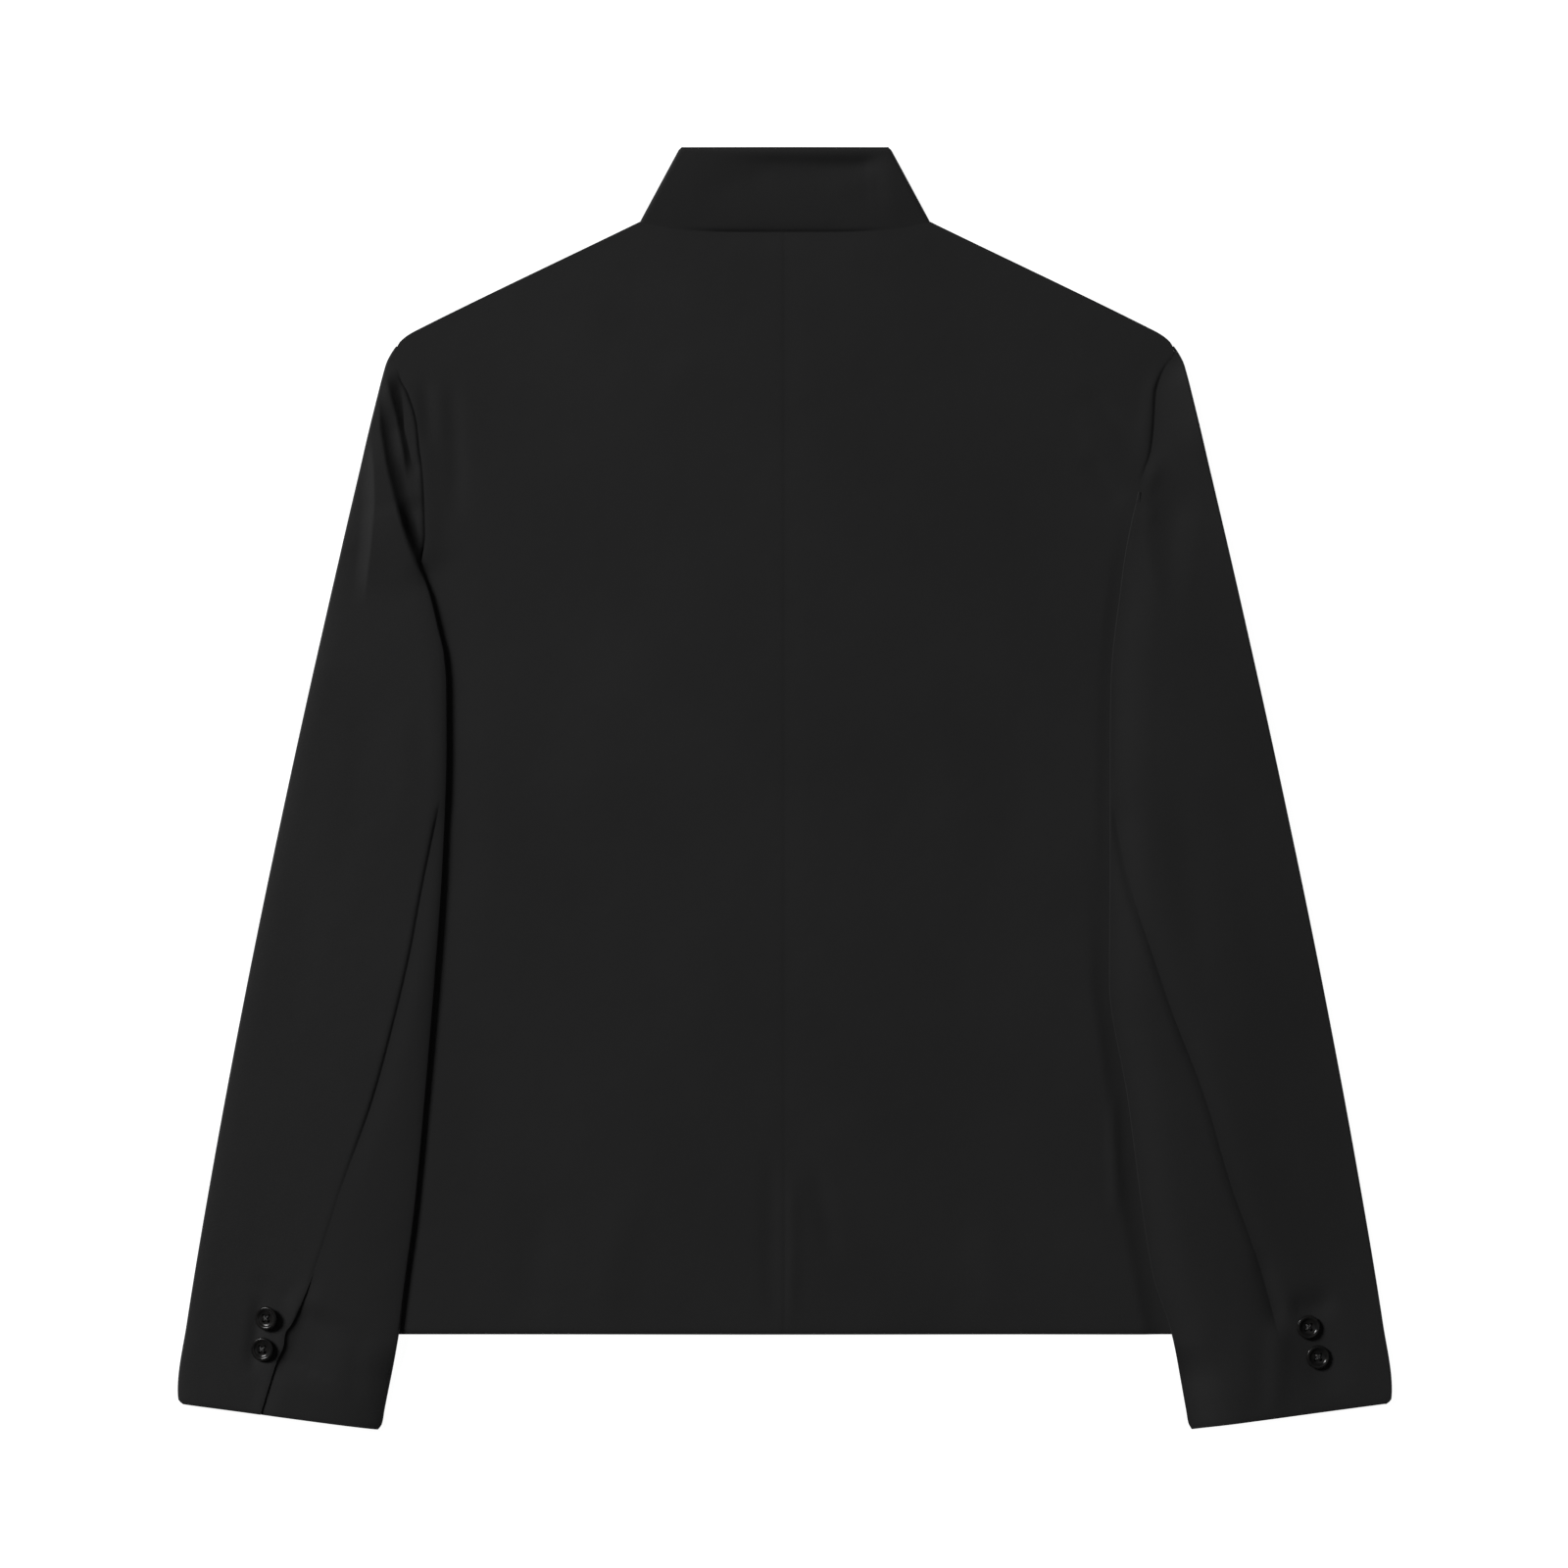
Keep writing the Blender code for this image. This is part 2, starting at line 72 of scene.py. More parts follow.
# Body
HEM_Y = -341.4
FRONT_HEM_Y = -339.6
UNDERARM_Y = 75.0
BODY_HALF = 270.0
SHOULDER_POINT_Y = 274.0
NECK_CORNER = Vector((91.0, 355.0))
BACK_NECK_Y = 348.4
NECK_CURVE = 4
FRONT_NECK_DROP = 87.0
FRONT_NECK_START_Y = 288.4
FRONT_LAP = 20.0
LAP_FLAT = 25.0
LAP_RAMP = 35.0
BACK_SWELL = 1.9
BACK_SWELL_REACH = 185.0
BACK_LIFT = 0.5
# Depths of the centre seam, hem and neck seam, and how far the back may sink below its unlifted height
CENTRE_DEPTH = 0.15
CENTRE_ROLL = {LEFT: STEEP, RIGHT: GENTLE}
HEM_DEPTH = 0.4
HEM_ROLL = 2.0
NECK_DEPTH = 0.5
BACK_LIMIT = 0.2
# The armhole seam: where it begins to show, where it flattens out towards the shoulder, how the back rises
# or drops to it and over what width, and the share of its thickness that the back keeps there
ARMHOLE_START = {LEFT: (134.0, 142.0), RIGHT: (188.0, 216.0)}
ARMHOLE_FADE = {LEFT: (246.0, 264.0), RIGHT: (250.0, 276.0)}
ARMHOLE_ROLL = {LEFT: 0.9, RIGHT: -0.35}
ARMHOLE_REACH = {LEFT: GENTLE, RIGHT: STEEP}
ARMHOLE_THIN = {LEFT: 1.0, RIGHT: FREE_EDGE}

# Collar
COLLAR_TOP = Vector((65.6, 401.8))
COLLAR_FRONT_HEIGHT = 48.0
COLLAR_END = 2.0
COLLAR_FOLD = 1.0
COLLAR_SEAM_FADE = (30.0, 72.0)
COLLAR_INSET = COLLAR_FOLD + COLLAR_WALL / 2
COLLAR_SWELL = 0.6
COLLAR_SEAM_DEPTH = 0.55

# Sleeves
CUFF_MIDDLE_Y = -392.9
CUFF_HALF = 63.5
CUFF_SLANT = 0.1276
SLANT_TOP_Y = -200.0
CAP_TOP_Y = 271.0
SLEEVE_TOP_Y = 277.0
# Where the inner edge leaves the armhole seam, and the stretch over which the sleeve comes free of it
CROSSING_Y = {LEFT: 140.0, RIGHT: 190.0}
CROSSING_BLEND = (-10.0, 20.0)
UNDER_START = 30.0
UNDER_TIP = 4.0
SLEEVE_FOLD = 0.8
INNER_FOLD = {LEFT: 0.8, RIGHT: 0.3}
CAP_FOLD_SHARE = 0.4
FRONT_SEAM_INSET = 24.0
SIDE_RAMP_START = 2.0
HEM_RAMP_START = 4.0
LOWER_RAMP = 25.0
UPPER_RAMP = 90.0
UNDERARM_BLEND = 60.0
LEAST_GAP = 0.15
# The share of its rise that the upper layer keeps at its inner and its outer edge, how far in from the outer
# edge it has all of it, and how far below the top of the cap the outer edge is fully rolled
INNER_LEAST = {LEFT: 0.0, RIGHT: 0.05}
OUTER_LEAST = {LEFT: 0.75, RIGHT: 1.0}
OUTER_REACH = 11.0
OUTER_ROLL_START = 100.0
# How far the cap is raised, how softly that begins at the crossing, and where it begins to end
CAP_LIFT = {LEFT: 3.4, RIGHT: 0.0}
CAP_LIFT_BLEND = 30.0
CAP_LIFT_END_Y = 225.0
# How much lower the right sleeve lies, and how thin it is pressed towards its inner edge
INNER_LOWER = {LEFT: 0.0, RIGHT: 1.5}
THIN_EDGE = {LEFT: 1.0, RIGHT: 0.35}
THIN_REACH = 26.0
HIND_SEAM_TOP_Y = -4.0
HIND_INSET = 3.2
HIND_START = (0.0, 20.0)
HIND_FADE = (190.0, 260.0)
VENT_TOP_Y = -298.0
VENT_BLEND = 20.0
VENT_ROLL = 6.0
# An edge at the hind seam: how far off it begins to roll down, how thin it is, and its rise at an open vent
SeamEdge = namedtuple("SeamEdge", "reach thin vent")
# A hind seam: its depth, the share that fades out above the vent, where it ends, whether the vent opens,
# and the edges of the top sleeve and the under sleeve
HindSeam = namedtuple("HindSeam", "depth fade end opens top under")
HIND = {
    LEFT: HindSeam(
        0.7, 0.75, (-500.0, -450.0), True,
        top=SeamEdge(STEEP, 0.35, 0.5), under=SeamEdge(GENTLE, 1.0, -0.7),
    ),
    RIGHT: HindSeam(
        0.8, 0.0, (-350.0, -325.0), False,
        top=SeamEdge(10.0, 1.0, 0.0), under=SeamEdge(3.5, 0.6, 0.0),
    ),
}

# How closely the shells are divided: the lines beside an edge, and the steps between the others
NEAR_EDGE = np.array((0.0, 0.4, 0.9, 1.5, 2.3, 3.4, 5.0))
EDGE_SAMPLES = 4000
BODY_STEP = 2.7
SLEEVE_STEP = 2.3
HIDDEN_STEP = 6.0
COLLAR_STEP = 2.0
COLLAR_COLUMNS = 46
CUFF_CORNER = 12.0
CUFF_ROWS = 9
FOLD_STEPS = 12
HIDDEN_COLUMNS = 9
TOP_SLEEVE_WIDTH = 150.0
UNDER_SLEEVE_WIDTH = 90.0

# Buttons
BUTTON_DIAMETER = 15.0
BUTTON_EDGE = 2.4
BUTTON_DISH = 1.0
BUTTON_RIM = 2.2
BUTTON_ROUND = 0.4
# The dish, by how far inside the rim it has which height over its floor
DISH_SLOPE = ((2.0, 0.02), (2 * BUTTON_ROUND, 0.15), (BUTTON_ROUND, 0.45))
# The rim's inner slope, by the share of its width and how far it is below the crown, then its rounded outside
RIM_SLOPE = ((1.0, 0.22), (0.75, 0.05))
RIM_TURN = 0.8 * pi
RIM_STEPS = 12
BACK_INSET = 4 * BUTTON_ROUND
BUTTON_HOLE = 1.9
BUTTON_HOLE_SPACING = 3.4
PEG_LENGTH = 4 * BUTTON_EDGE
BUTTON_STEPS = 72
HOLE_STEPS = 24
BUTTON_GAP = 0.1
BUTTON_SHARP_ANGLE = 35.0
MERGE_DISTANCE = 1e-7

# Sewing thread: its strands' slant and height, how deep they go into a hole, and how far they lie apart
THREAD = 0.55
THREAD_ROUNDNESS = 3
STRANDS = ((1, 0.55), (-1, 0.95))
STRAND_DIP = 1.4
STRAND_SPACING = 0.9
STRAND_POINTS = 13
DIAGONAL = 0.7
SHANK = 2.6
SHANK_SUNK = 0.4

# Photograph: its side in pixels, what a pixel measures and at what height, and where its middle lies
PHOTO_SIDE = 1600
PIXEL = 0.6133
CLOTH_LEVEL = 5.0
PHOTO_MIDDLE = (-0.6, 3.2)
LENS = 120.0
SENSOR = 36.0

# Floor, how far the camera sees, and light, in metres
FLOOR_SIZE = 30.0
FLOOR_Z = -0.0004
CAMERA_END = 100.0
ROOM_LIGHT = 0.03
Lamp = namedtuple("Lamp", "name place size power")
LAMPS = (
    Lamp("key_from_the_left", (-8.0, 5.0, 7.2), 4.2, 1420.0),
    Lamp("soft_overhead", (0.2, 0.2, 4.5), 3.0, 10.0),
)

# Sheets: the width and the length of a cut piece in metres, and its area
Sheet = namedtuple("Sheet", "width length area")


def table(columns, *rows):
    """Rows with named columns, in the order of the first column."""
    row_type = namedtuple("Row", columns)
    return sorted(row_type(*row) for row in rows)


SIDE_SEAM = table(
    "y x",
    (HEM_Y, 262),
    (-120, 263),
    (UNDERARM_Y, BODY_HALF),
)
SHOULDER = table(
    "y x",
    (SHOULDER_POINT_Y, 244),
    (279, 241.8),
    (282.3, 238.6),
    (285.3, 234.3),
    (288.4, 228.4),
    (NECK_CORNER.y, NECK_CORNER.x),
)
ARMHOLE = table(
    "y left right",
    (SHOULDER_POINT_Y, 244, 244),
    (CAP_TOP_Y, 243.5, 242.6),
    (266, 242.6, 239.2),
    (258, 241, 235),
    (248, 235.8, 232.2),
    (230, 230.4, 231.4),
    (212, 228.4, 229.4),
    (200, 226.7, 225.5),
    (190, 226, 222.5),
    (160, 225.1, 222),
    (140, 228, 225),
    (120, 232, 231),
    (110, 235.8, 235.4),
    (100, 241, 241),
    (88, 250, 250),
    (80, 260, 260),
    (UNDERARM_Y, 270, 270),
)
BACK_ROWS = table(
    "edge_y centre_y",
    (HEM_Y, HEM_Y),
    (UNDERARM_Y, 60),
    (160, 150),
    (SHOULDER_POINT_Y, 262),
    (288.4, 282),
    (NECK_CORNER.y, BACK_NECK_Y),
)
FRONT_ROWS = table(
    "edge_y inner_y",
    (FRONT_HEM_Y, FRONT_HEM_Y),
    (UNDERARM_Y, 50),
    (160, 130),
    (230, 200),
    (SHOULDER_POINT_Y, 250),
    (FRONT_NECK_START_Y, 263.5),
)
FRONT_NECK = table(
    "edge_y angle",
    (295, 15),
    (302, 30),
    (312, 45),
    (324, 60),
    (340, 75),
    (NECK_CORNER.y, 87),
)
OUTER_EDGE = table(
    "y x",
    (SLEEVE_TOP_Y, 243),
    (274, 245.2),
    (CAP_TOP_Y, 247),
    (266.9, 249),
    (260.8, 250.8),
    (248.5, 253.9),
    (217.9, 261.3),
    (125.9, 282.7),
    (3.2, 310),
    (-119.4, 335.5),
    (-242.1, 358.5),
    (-334.1, 373.8),
    (-376, 379.5),
    (-381.5, 379.2),
    (-384.8, 376.5),
)
INNER_EDGE = table(
    "y left right",
    (190, 230, 222.5),
    (160, 229, 215.5),
    (140, 228, 212),
    (120, 221.8, 209.5),
    (101, 217.2, 207),
    (83, 213.2, 205),
    (64, 211.8, 204),
    (28, 211.6, 203.5),
    (-46, 214.2, 203.5),
    (-119, 219.2, 203),
    (-193, 225.3, 214.5),
    (-267, 232.3, 224.2),
    (-303, 237.2, 230.2),
    (-341, 242.2, 242.2),
    (-389, 251.5, 251.5),
    (-397, 252.9, 252.9),
    (-401, 255, 255),
)
HIND_SEAM = table(
    "y left right",
    (HIND_SEAM_TOP_Y, 214.6, 205),
    (-64, 226.9, 217.1),
    (-101, 233.7, 229.4),
    (-138, 242.2, 242),
    (-193, 257, 263.1),
    (-248, 276.6, 279.5),
    (-298, 293, 297.3),
    (-334.7, 308.6, 307.5),
    (-340.2, 312.4, 309),
    (-347.6, 313.4, 311.3),
    (-357.4, 317.6, 314.4),
    (-370.3, 321.7, 318.5),
    (-391, 328, 325),
)
INNER_RISE = table(
    "below mid",
    (-130, 2.9),
    (-100, 3.0),
    (-50, 3.4),
    (-10, 4.4),
    (10, 5.4),
    (UNDER_START, 7.0),
    (80, 8.6),
    (260, 8.8),
    (400, 8.7),
)
INNER_REACH = table(
    "y left right",
    (-330, 44, 34),
    (-250, 38, 36),
    (-150, 20, 40),
    (-60, 13, 44),
    (60, 12, 44),
)
OUTER_RISE = table(
    "y left right",
    (-300, 6.9, 3.8),
    (-60, 6.9, 4.4),
    (60, 6.9, 6.0),
    (120, 6.9, 6.9),
    (215, 5.4, 5.4),
    (245, 4.4, 4.4),
    (CAP_TOP_Y, 3.2, 3.2),
)
BUTTONS = (
    # Name, side, x and y of its middle, and how far it leans
    ("cuff_button_left_upper", LEFT, 323.8, -330.7, 18.0),
    ("cuff_button_left_lower", LEFT, 326.3, -350.1, 14.0),
    ("cuff_button_right_upper", RIGHT, 327.5, -336.6, 4.0),
    ("cuff_button_right_lower", RIGHT, 333.5, -355.4, 4.0),
)

# Creases: the height in the middle, minus for a trough, the half width, and a path of x, y points
Crease = namedtuple("Crease", "height width path")
# Folds: how far cloth rises left of a path, seen along it, and drops right of it, and the width of the drop
Fold = namedtuple("Fold", "rise drop width path")
BACK_CREASES = {
    LEFT: (
        Crease(-0.6, 5.0, ((225, 264), (224, 238), (223, 210))),
        Crease(-0.7, 6.0, ((209, 266), (208, 238), (206, 205), (206, 160))),
        Crease(0.15, 6.0, ((216, 256), (215, 216))),
        Fold(0.0, 0.7, 5.5, (
            (229, 150), (226.5, 136), (216.8, 101), (211.3, 64), (211.1, 28),
            (213.7, -46), (218.7, -119), (231.8, -267),
        )),
        Crease(-0.5, 6.0, ((8, -215), (9, -280), (8, -345))),
        Crease(-0.5, 16.0, ((120, 300), (90, 280), (60, 262))),
        Crease(0.5, 26.0, ((60, 120), (110, 40), (140, -40))),
        Crease(-0.5, 20.0, ((205, -60), (196, -180), (200, -300))),
        Crease(0.4, 14.0, ((90, -240), (110, -300), (118, -340))),
        Crease(-0.4, 12.0, ((150, -250), (158, -300), (160, -341))),
    ),
    RIGHT: (
        Crease(0.5, 4.5, ((237, 270), (229.5, 250), (227, 232), (224, 204))),
        Crease(0.6, 3.0, ((206, -178), (206, -225), (207, -275))),
        Crease(-0.5, 6.0, ((224, 204), (212, 222), (197, 242), (184, 254))),
        Crease(-0.45, 7.0, ((214, 176), (202, 190), (186, 210))),
        Crease(0.2, 6.0, ((213, 190), (196, 210), (184, 224))),
        Crease(-0.2, 8.0, ((196, 250), (184, 238), (176, 222))),
        Crease(0.45, 4.0, ((4, -228), (5, -285), (3, -350))),
        Crease(-0.5, 7.0, ((15, -228), (24, -262), (33, -300))),
        Fold(0.3, 0.3, 9.0, ((195, -80), (195, 0), (196, 64), (199, 101), (204, 140), (211, 180))),
        Fold(1.2, 0.7, 14.0, ((237, -400), (224, -335), (211, -267), (202, -193), (191, -119), (191, -46))),
        Crease(0.4, 24.0, ((70, 100), (110, 10), (120, -90))),
        Crease(0.4, 12.0, ((120, -250), (128, -300), (130, -341))),
    ),
}
FRONT_CREASES = {
    LEFT: (
        Crease(0.35, 14.0, ((66, 140), (100, 66), (132, -20))),
        Crease(0.3, 11.0, ((62, -110), (78, -190), (80, -290))),
        Crease(0.25, 10.0, ((196, 96), (172, 30), (160, -50))),
    ),
    RIGHT: (
        Crease(0.35, 13.0, ((84, 96), (110, 16), (118, -84))),
        Crease(0.3, 12.0, ((104, -140), (94, -220), (98, -320))),
        Crease(0.25, 10.0, ((150, 150), (176, 90), (204, 48))),
    ),
}
SLEEVE_CREASES = {
    LEFT: (
        Fold(0.8, 2.4, 9.0, ((263.5, 112), (258.2, 158), (256.6, 178), (257, 198), (258.2, 210), (260, 226))),
        Fold(0.9, 3.9, 9.5, (
            (254.5, 254), (253.2, 226), (249.4, 203), (243.9, 180), (238, 160),
            (229.6, 140), (223.4, 124), (217.9, 104), (213, 84),
        )),
        Fold(0.8, 1.6, 5.0, ((244.4, 182), (238.5, 162), (234.5, 150.5), (230, 140.5), (223.9, 125))),
        Fold(0.4, 2.4, 7.0, ((250.5, 260), (243.2, 232), (239.2, 212), (236.4, 192))),
        Crease(1.5, 6.0, ((252, 268), (249, 254), (243.8, 232), (239.8, 212), (237, 192))),
        Crease(-0.25, 10.0, ((256, 70), (270, -10), (282, -90))),
        Crease(-0.2, 11.0, ((292, -30), (303, -110), (310, -170))),
        Crease(0.2, 10.0, ((240, 60), (238, 10), (244, -40))),
        Crease(-0.2, 9.0, ((226, 70), (224, 20), (222, -20))),
        Crease(-0.6, 6.0, ((336, -302), (318, -314), (306, -320))),
        Fold(0.0, 2.2, 8.5, (
            (301, -316), (308.6, -334.7), (312.4, -340.2), (313.4, -347.6),
            (317.6, -357.4), (321.7, -370.3),
        )),
        Crease(0.25, 14.0, ((330, -190), (338, -250), (344, -300))),
        Crease(-0.5, 7.0, ((262, -330), (268, -360), (272, -392))),
        Crease(-1.3, 5.0, ((329, -312), (329.5, -331), (332, -350), (333.5, -370))),
    ),
    RIGHT: (
        Crease(4.2, 16.0, ((256, 276), (262, 256), (266, 238), (272, 200))),
        Crease(0.6, 5.0, ((236, 214), (227, 186), (215, 154))),
        Crease(0.5, 5.0, ((220, 160), (215, 142), (212, 120))),
        Crease(-0.25, 10.0, ((240, 30), (250, -50), (262, -110))),
        Crease(0.25, 11.0, ((226, 20), (232, -60), (246, -120))),
        Crease(-0.25, 13.0, ((276, 40), (292, -60), (300, -150))),
        Crease(0.3, 15.0, ((320, -150), (330, -220), (340, -300))),
        Crease(-0.25, 9.0, ((250, -140), (258, -190), (266, -240))),
        Crease(-1.1, 8.0, ((348, -318), (330, -324), (313, -325))),
        Crease(-1.0, 7.0, ((293, -286), (299, -305), (305, -326), (309, -345))),
        Crease(0.9, 7.0, ((308, -322), (308.5, -346), (307, -374), (306, -402))),
        Crease(0.5, 8.0, ((284, -330), (288, -360), (292, -392))),
        Crease(-1.2, 12.0, ((326, -306), (331, -330), (337, -358), (343, -384))),
    ),
}
COLLAR_CREASES = (
    Fold(0.2, 1.7, 8.0, ((-60, 398), (24, 397), (34, 397), (44, 397), (54, 397.5), (66, 399))),
    Crease(-0.5, 6.0, ((4, 391), (28, 390.5), (46, 391), (62, 394))),
    Crease(-0.5, 8.0, ((-44, 389), (-12, 387), (20, 386.5), (44, 388), (62, 392))),
    Crease(-0.4, 9.0, ((-58, 372), (-30, 380), (-4, 384))),
    Crease(0.2, 7.0, ((20, 372), (44, 378), (62, 388))),
    Crease(-0.35, 3.0, ((-40, 351), (10, 350.5), (50, 352))),
)


def along(rows, column, at):
    """A column's values where the first column has these values, on a smooth curve without overshoot."""
    keys = np.array([row[0] for row in rows], float)
    values = np.array([getattr(row, column) for row in rows], float)
    steps = np.diff(values) / np.diff(keys)
    before, after = steps[:-1], steps[1:]
    agree = before * after > 0
    inside = np.where(agree, 2 * before * after / np.where(agree, before + after, 1), 0)
    slopes = np.concatenate([steps[:1], inside, steps[-1:]])
    at = np.clip(at, keys[0], keys[-1])
    i = np.clip(np.searchsorted(keys, at, side="right") - 1, 0, len(keys) - 2)
    width = keys[i + 1] - keys[i]
    t = (at - keys[i]) / width
    start = values[i] * (1 + 2 * t) + width * slopes[i] * t
    end = values[i + 1] * (3 - 2 * t) - width * slopes[i + 1] * (1 - t)
    return start * (1 - t) ** 2 + end * t * t


def smooth(value, low, high):
    """0 up to low, 1 from high, and a soft rise between them."""
    t = np.clip((value - low) / (high - low), 0, 1)
    return t * t * (3 - 2 * t)


def hump(distance, reach):
    """1 at no distance, fading softly over reach."""
    return np.exp(-(distance / reach) ** 2)


def rounded(share):
    """A quarter of a round edge: steep at 0, level from 1."""
    return np.sqrt(1 - (1 - np.clip(share, 0, 1)) ** 2)


def side_name(side):
    return "left" if side == LEFT else "right"


def path_distance(path, x, y):
    """How far points lie from a path, more than 0 on its left, and the share of its stretches behind them."""
    nearest = np.full(np.broadcast(x, y).shape, np.inf)
    share = np.zeros(nearest.shape)
    for i, (first, second) in enumerate(zip(path, path[1:])):
        run = np.subtract(second, first)
        t = np.clip(((x - first[0]) * run[0] + (y - first[1]) * run[1]) / (run @ run), 0, 1)
        away_x = x - first[0] - run[0] * t
        away_y = y - first[1] - run[1] * t
        away = np.hypot(away_x, away_y)
        closer = away < np.abs(nearest)
        nearest = np.where(closer, np.copysign(away, run[0] * away_y - run[1] * away_x), nearest)
        share = np.where(closer, (i + t) / (len(path) - 1), share)
    return nearest, share


def fold_height(fold, away):
    """A rise that ends in a drop: high on the left of its path, low on the right, level again further off."""
    step = -fold.drop + (fold.rise + fold.drop) * np.clip(1 + away / fold.width, 0, 1) ** 2
    high = fold.rise * hump(away, FOLD_SPREAD_HIGH * fold.width)
    low = -fold.drop * hump(away + fold.width, FOLD_SPREAD_LOW * fold.width)
    return np.where(away > 0, high, np.where(away < -fold.width, low, step))


def crease_height(creases, x, y):
    """The sum of the creases and folds at these points, each fading out at both ends of its path."""
    total = np.zeros(np.broadcast(x, y).shape)
    for crease in creases:
        away, share = path_distance(crease.path, x, y)
        if isinstance(crease, Fold):
            start = FOLD_START
            height = fold_height(crease, away)
        else:
            start = CREASE_START
            height = crease.height * hump(away, crease.width)
        total += height * smooth(share, 0, start) * (1 - smooth(share, CREASE_END, 1))
    return total


# Body surfaces

def armhole_shows(side, y):
    return smooth(y, *ARMHOLE_START[side]) * (1 - smooth(y, *ARMHOLE_FADE[side]))


def body_edge(side, y):
    below = along(SIDE_SEAM, "x", y)
    beside = along(ARMHOLE, side_name(side), y)
    above = along(SHOULDER, "x", y)
    return np.where(y <= UNDERARM_Y, below, np.where(y <= SHOULDER_POINT_Y, beside, above))


def front_mid(side, x):
    mid = BODY_WALL / 2 + 0 * x
    if side == LEFT:
        return mid
    return mid + (BODY_WALL + LAYER_GAP) * (1 - smooth(x, LAP_FLAT, LAP_FLAT + LAP_RAMP))


def back_mid(x):
    """The back lies on the fronts and swells over the lapped closing."""
    mid = 1.5 * BODY_WALL + LAYER_GAP
    return mid + BACK_SWELL * np.cos(pi / 2 * np.minimum(1.0, np.abs(x) / BACK_SWELL_REACH)) ** 2


def spread(length, step):
    """Shares of a length, a step apart and closer together at both ends."""
    near = NEAR_EDGE / length
    middle = np.linspace(near[-1], 1 - near[-1], round(length / step))
    return np.concatenate([near[:-1], middle, 1 - near[-2::-1]])


def even_rows(side, start, end, step):
    """Heights on the body's edge from start to end, spread along it."""
    fine = np.linspace(start, end, EDGE_SAMPLES)
    edge = body_edge(side, fine)
    length = np.concatenate([[0], np.cumsum(np.hypot(np.diff(fine), np.diff(edge)))])
    return np.interp(length[-1] * spread(length[-1], step), length, fine)


def taper(*edges):
    """The share of its thickness that cloth keeps, by distances to edges and the shares kept there."""
    shares = [least + (1 - least) * smooth(distance, 0, EDGE_REACH) for distance, least in edges]
    return np.minimum.reduce(np.broadcast_arrays(*shares))


def back_surface(side):
    rows = even_rows(side, HEM_Y, NECK_CORNER.y, BODY_STEP)[:, None]
    u = spread(BODY_HALF, BODY_STEP)[None, :]
    centre_y = along(BACK_ROWS, "centre_y", rows)
    edge_x = body_edge(side, rows)
    x = edge_x * u
    y = centre_y + (rows - centre_y) * u ** NECK_CURVE
    edge = edge_x - x
    hem = y - HEM_Y
    neck = (NECK_CORNER.y - rows) * np.ones_like(u)
    shows = armhole_shows(side, rows)
    z = back_mid(x) + BACK_LIFT + crease_height(BACK_CREASES[side], x, y)
    z = z - CENTRE_DEPTH * hump(x, CENTRE_ROLL[side])
    z = z + ARMHOLE_ROLL[side] * shows * hump(edge, ARMHOLE_REACH[side]) - HEM_DEPTH * hump(hem, HEM_ROLL)
    z = z - NECK_DEPTH * hump(neck, GENTLE) * (1 - smooth(x, *COLLAR_SEAM_FADE))
    z = np.maximum(z, back_mid(x) - BACK_LIMIT)
    edges = taper((hem, FREE_EDGE), (edge, 1 - (1 - ARMHOLE_THIN[side]) * shows))
    return np.stack([side * x, y, z], axis=2), np.stack([side * x, y], axis=2), edges


def front_inner(rows):
    """Where a row of a front ends: on the lapped edge, or on the neckline."""
    angle = np.radians(along(FRONT_NECK, "angle", rows))
    neck_x = (NECK_CORNER.x - COLLAR_INSET) * np.sin(angle)
    neck_y = NECK_CORNER.y - FRONT_NECK_DROP * np.cos(angle)
    share = smooth(rows, FRONT_NECK_START_Y, FRONT_NECK[0].edge_y)
    lap_y = along(FRONT_ROWS, "inner_y", rows)
    on_neckline = rows >= FRONT_NECK[0].edge_y
    x = np.where(on_neckline, neck_x, -FRONT_LAP + (neck_x + FRONT_LAP) * share)
    y = np.where(on_neckline, neck_y, lap_y + (neck_y - lap_y) * share)
    return x, y


def front_surface(side):
    rows = even_rows(side, FRONT_HEM_Y, NECK_CORNER.y, HIDDEN_STEP)[:, None]
    u = spread(BODY_HALF + FRONT_LAP, HIDDEN_STEP)[None, :]
    inner_x, inner_y = front_inner(rows)
    edge_x = body_edge(side, rows)
    x = inner_x + (edge_x - inner_x) * u
    y = inner_y + (rows - inner_y) * u * u
    z = front_mid(side, x) + crease_height(FRONT_CREASES[side], x, y)
    edges = taper((x - inner_x, FREE_EDGE), (y - FRONT_HEM_Y, FREE_EDGE))
    return np.stack([side * x, y, z], axis=2), np.stack([side * x, y], axis=2), edges


# Collar surface

def collar_front(side, angle, height):
    lower_x = (NECK_CORNER.x - COLLAR_INSET) * np.sin(angle)
    lower_y = NECK_CORNER.y - FRONT_NECK_DROP * np.cos(angle)
    drop = COLLAR_TOP.y - NECK_CORNER.y + FRONT_NECK_DROP - COLLAR_FRONT_HEIGHT
    upper_x = (COLLAR_TOP.x - COLLAR_INSET) * np.sin(angle)
    upper_y = COLLAR_TOP.y - drop * np.cos(angle)
    x = np.maximum(lower_x + (upper_x - lower_x) * height, COLLAR_END)
    y = lower_y + (upper_y - lower_y) * height
    return x, y, front_mid(side, x) + (COLLAR_WALL - BODY_WALL) / 2


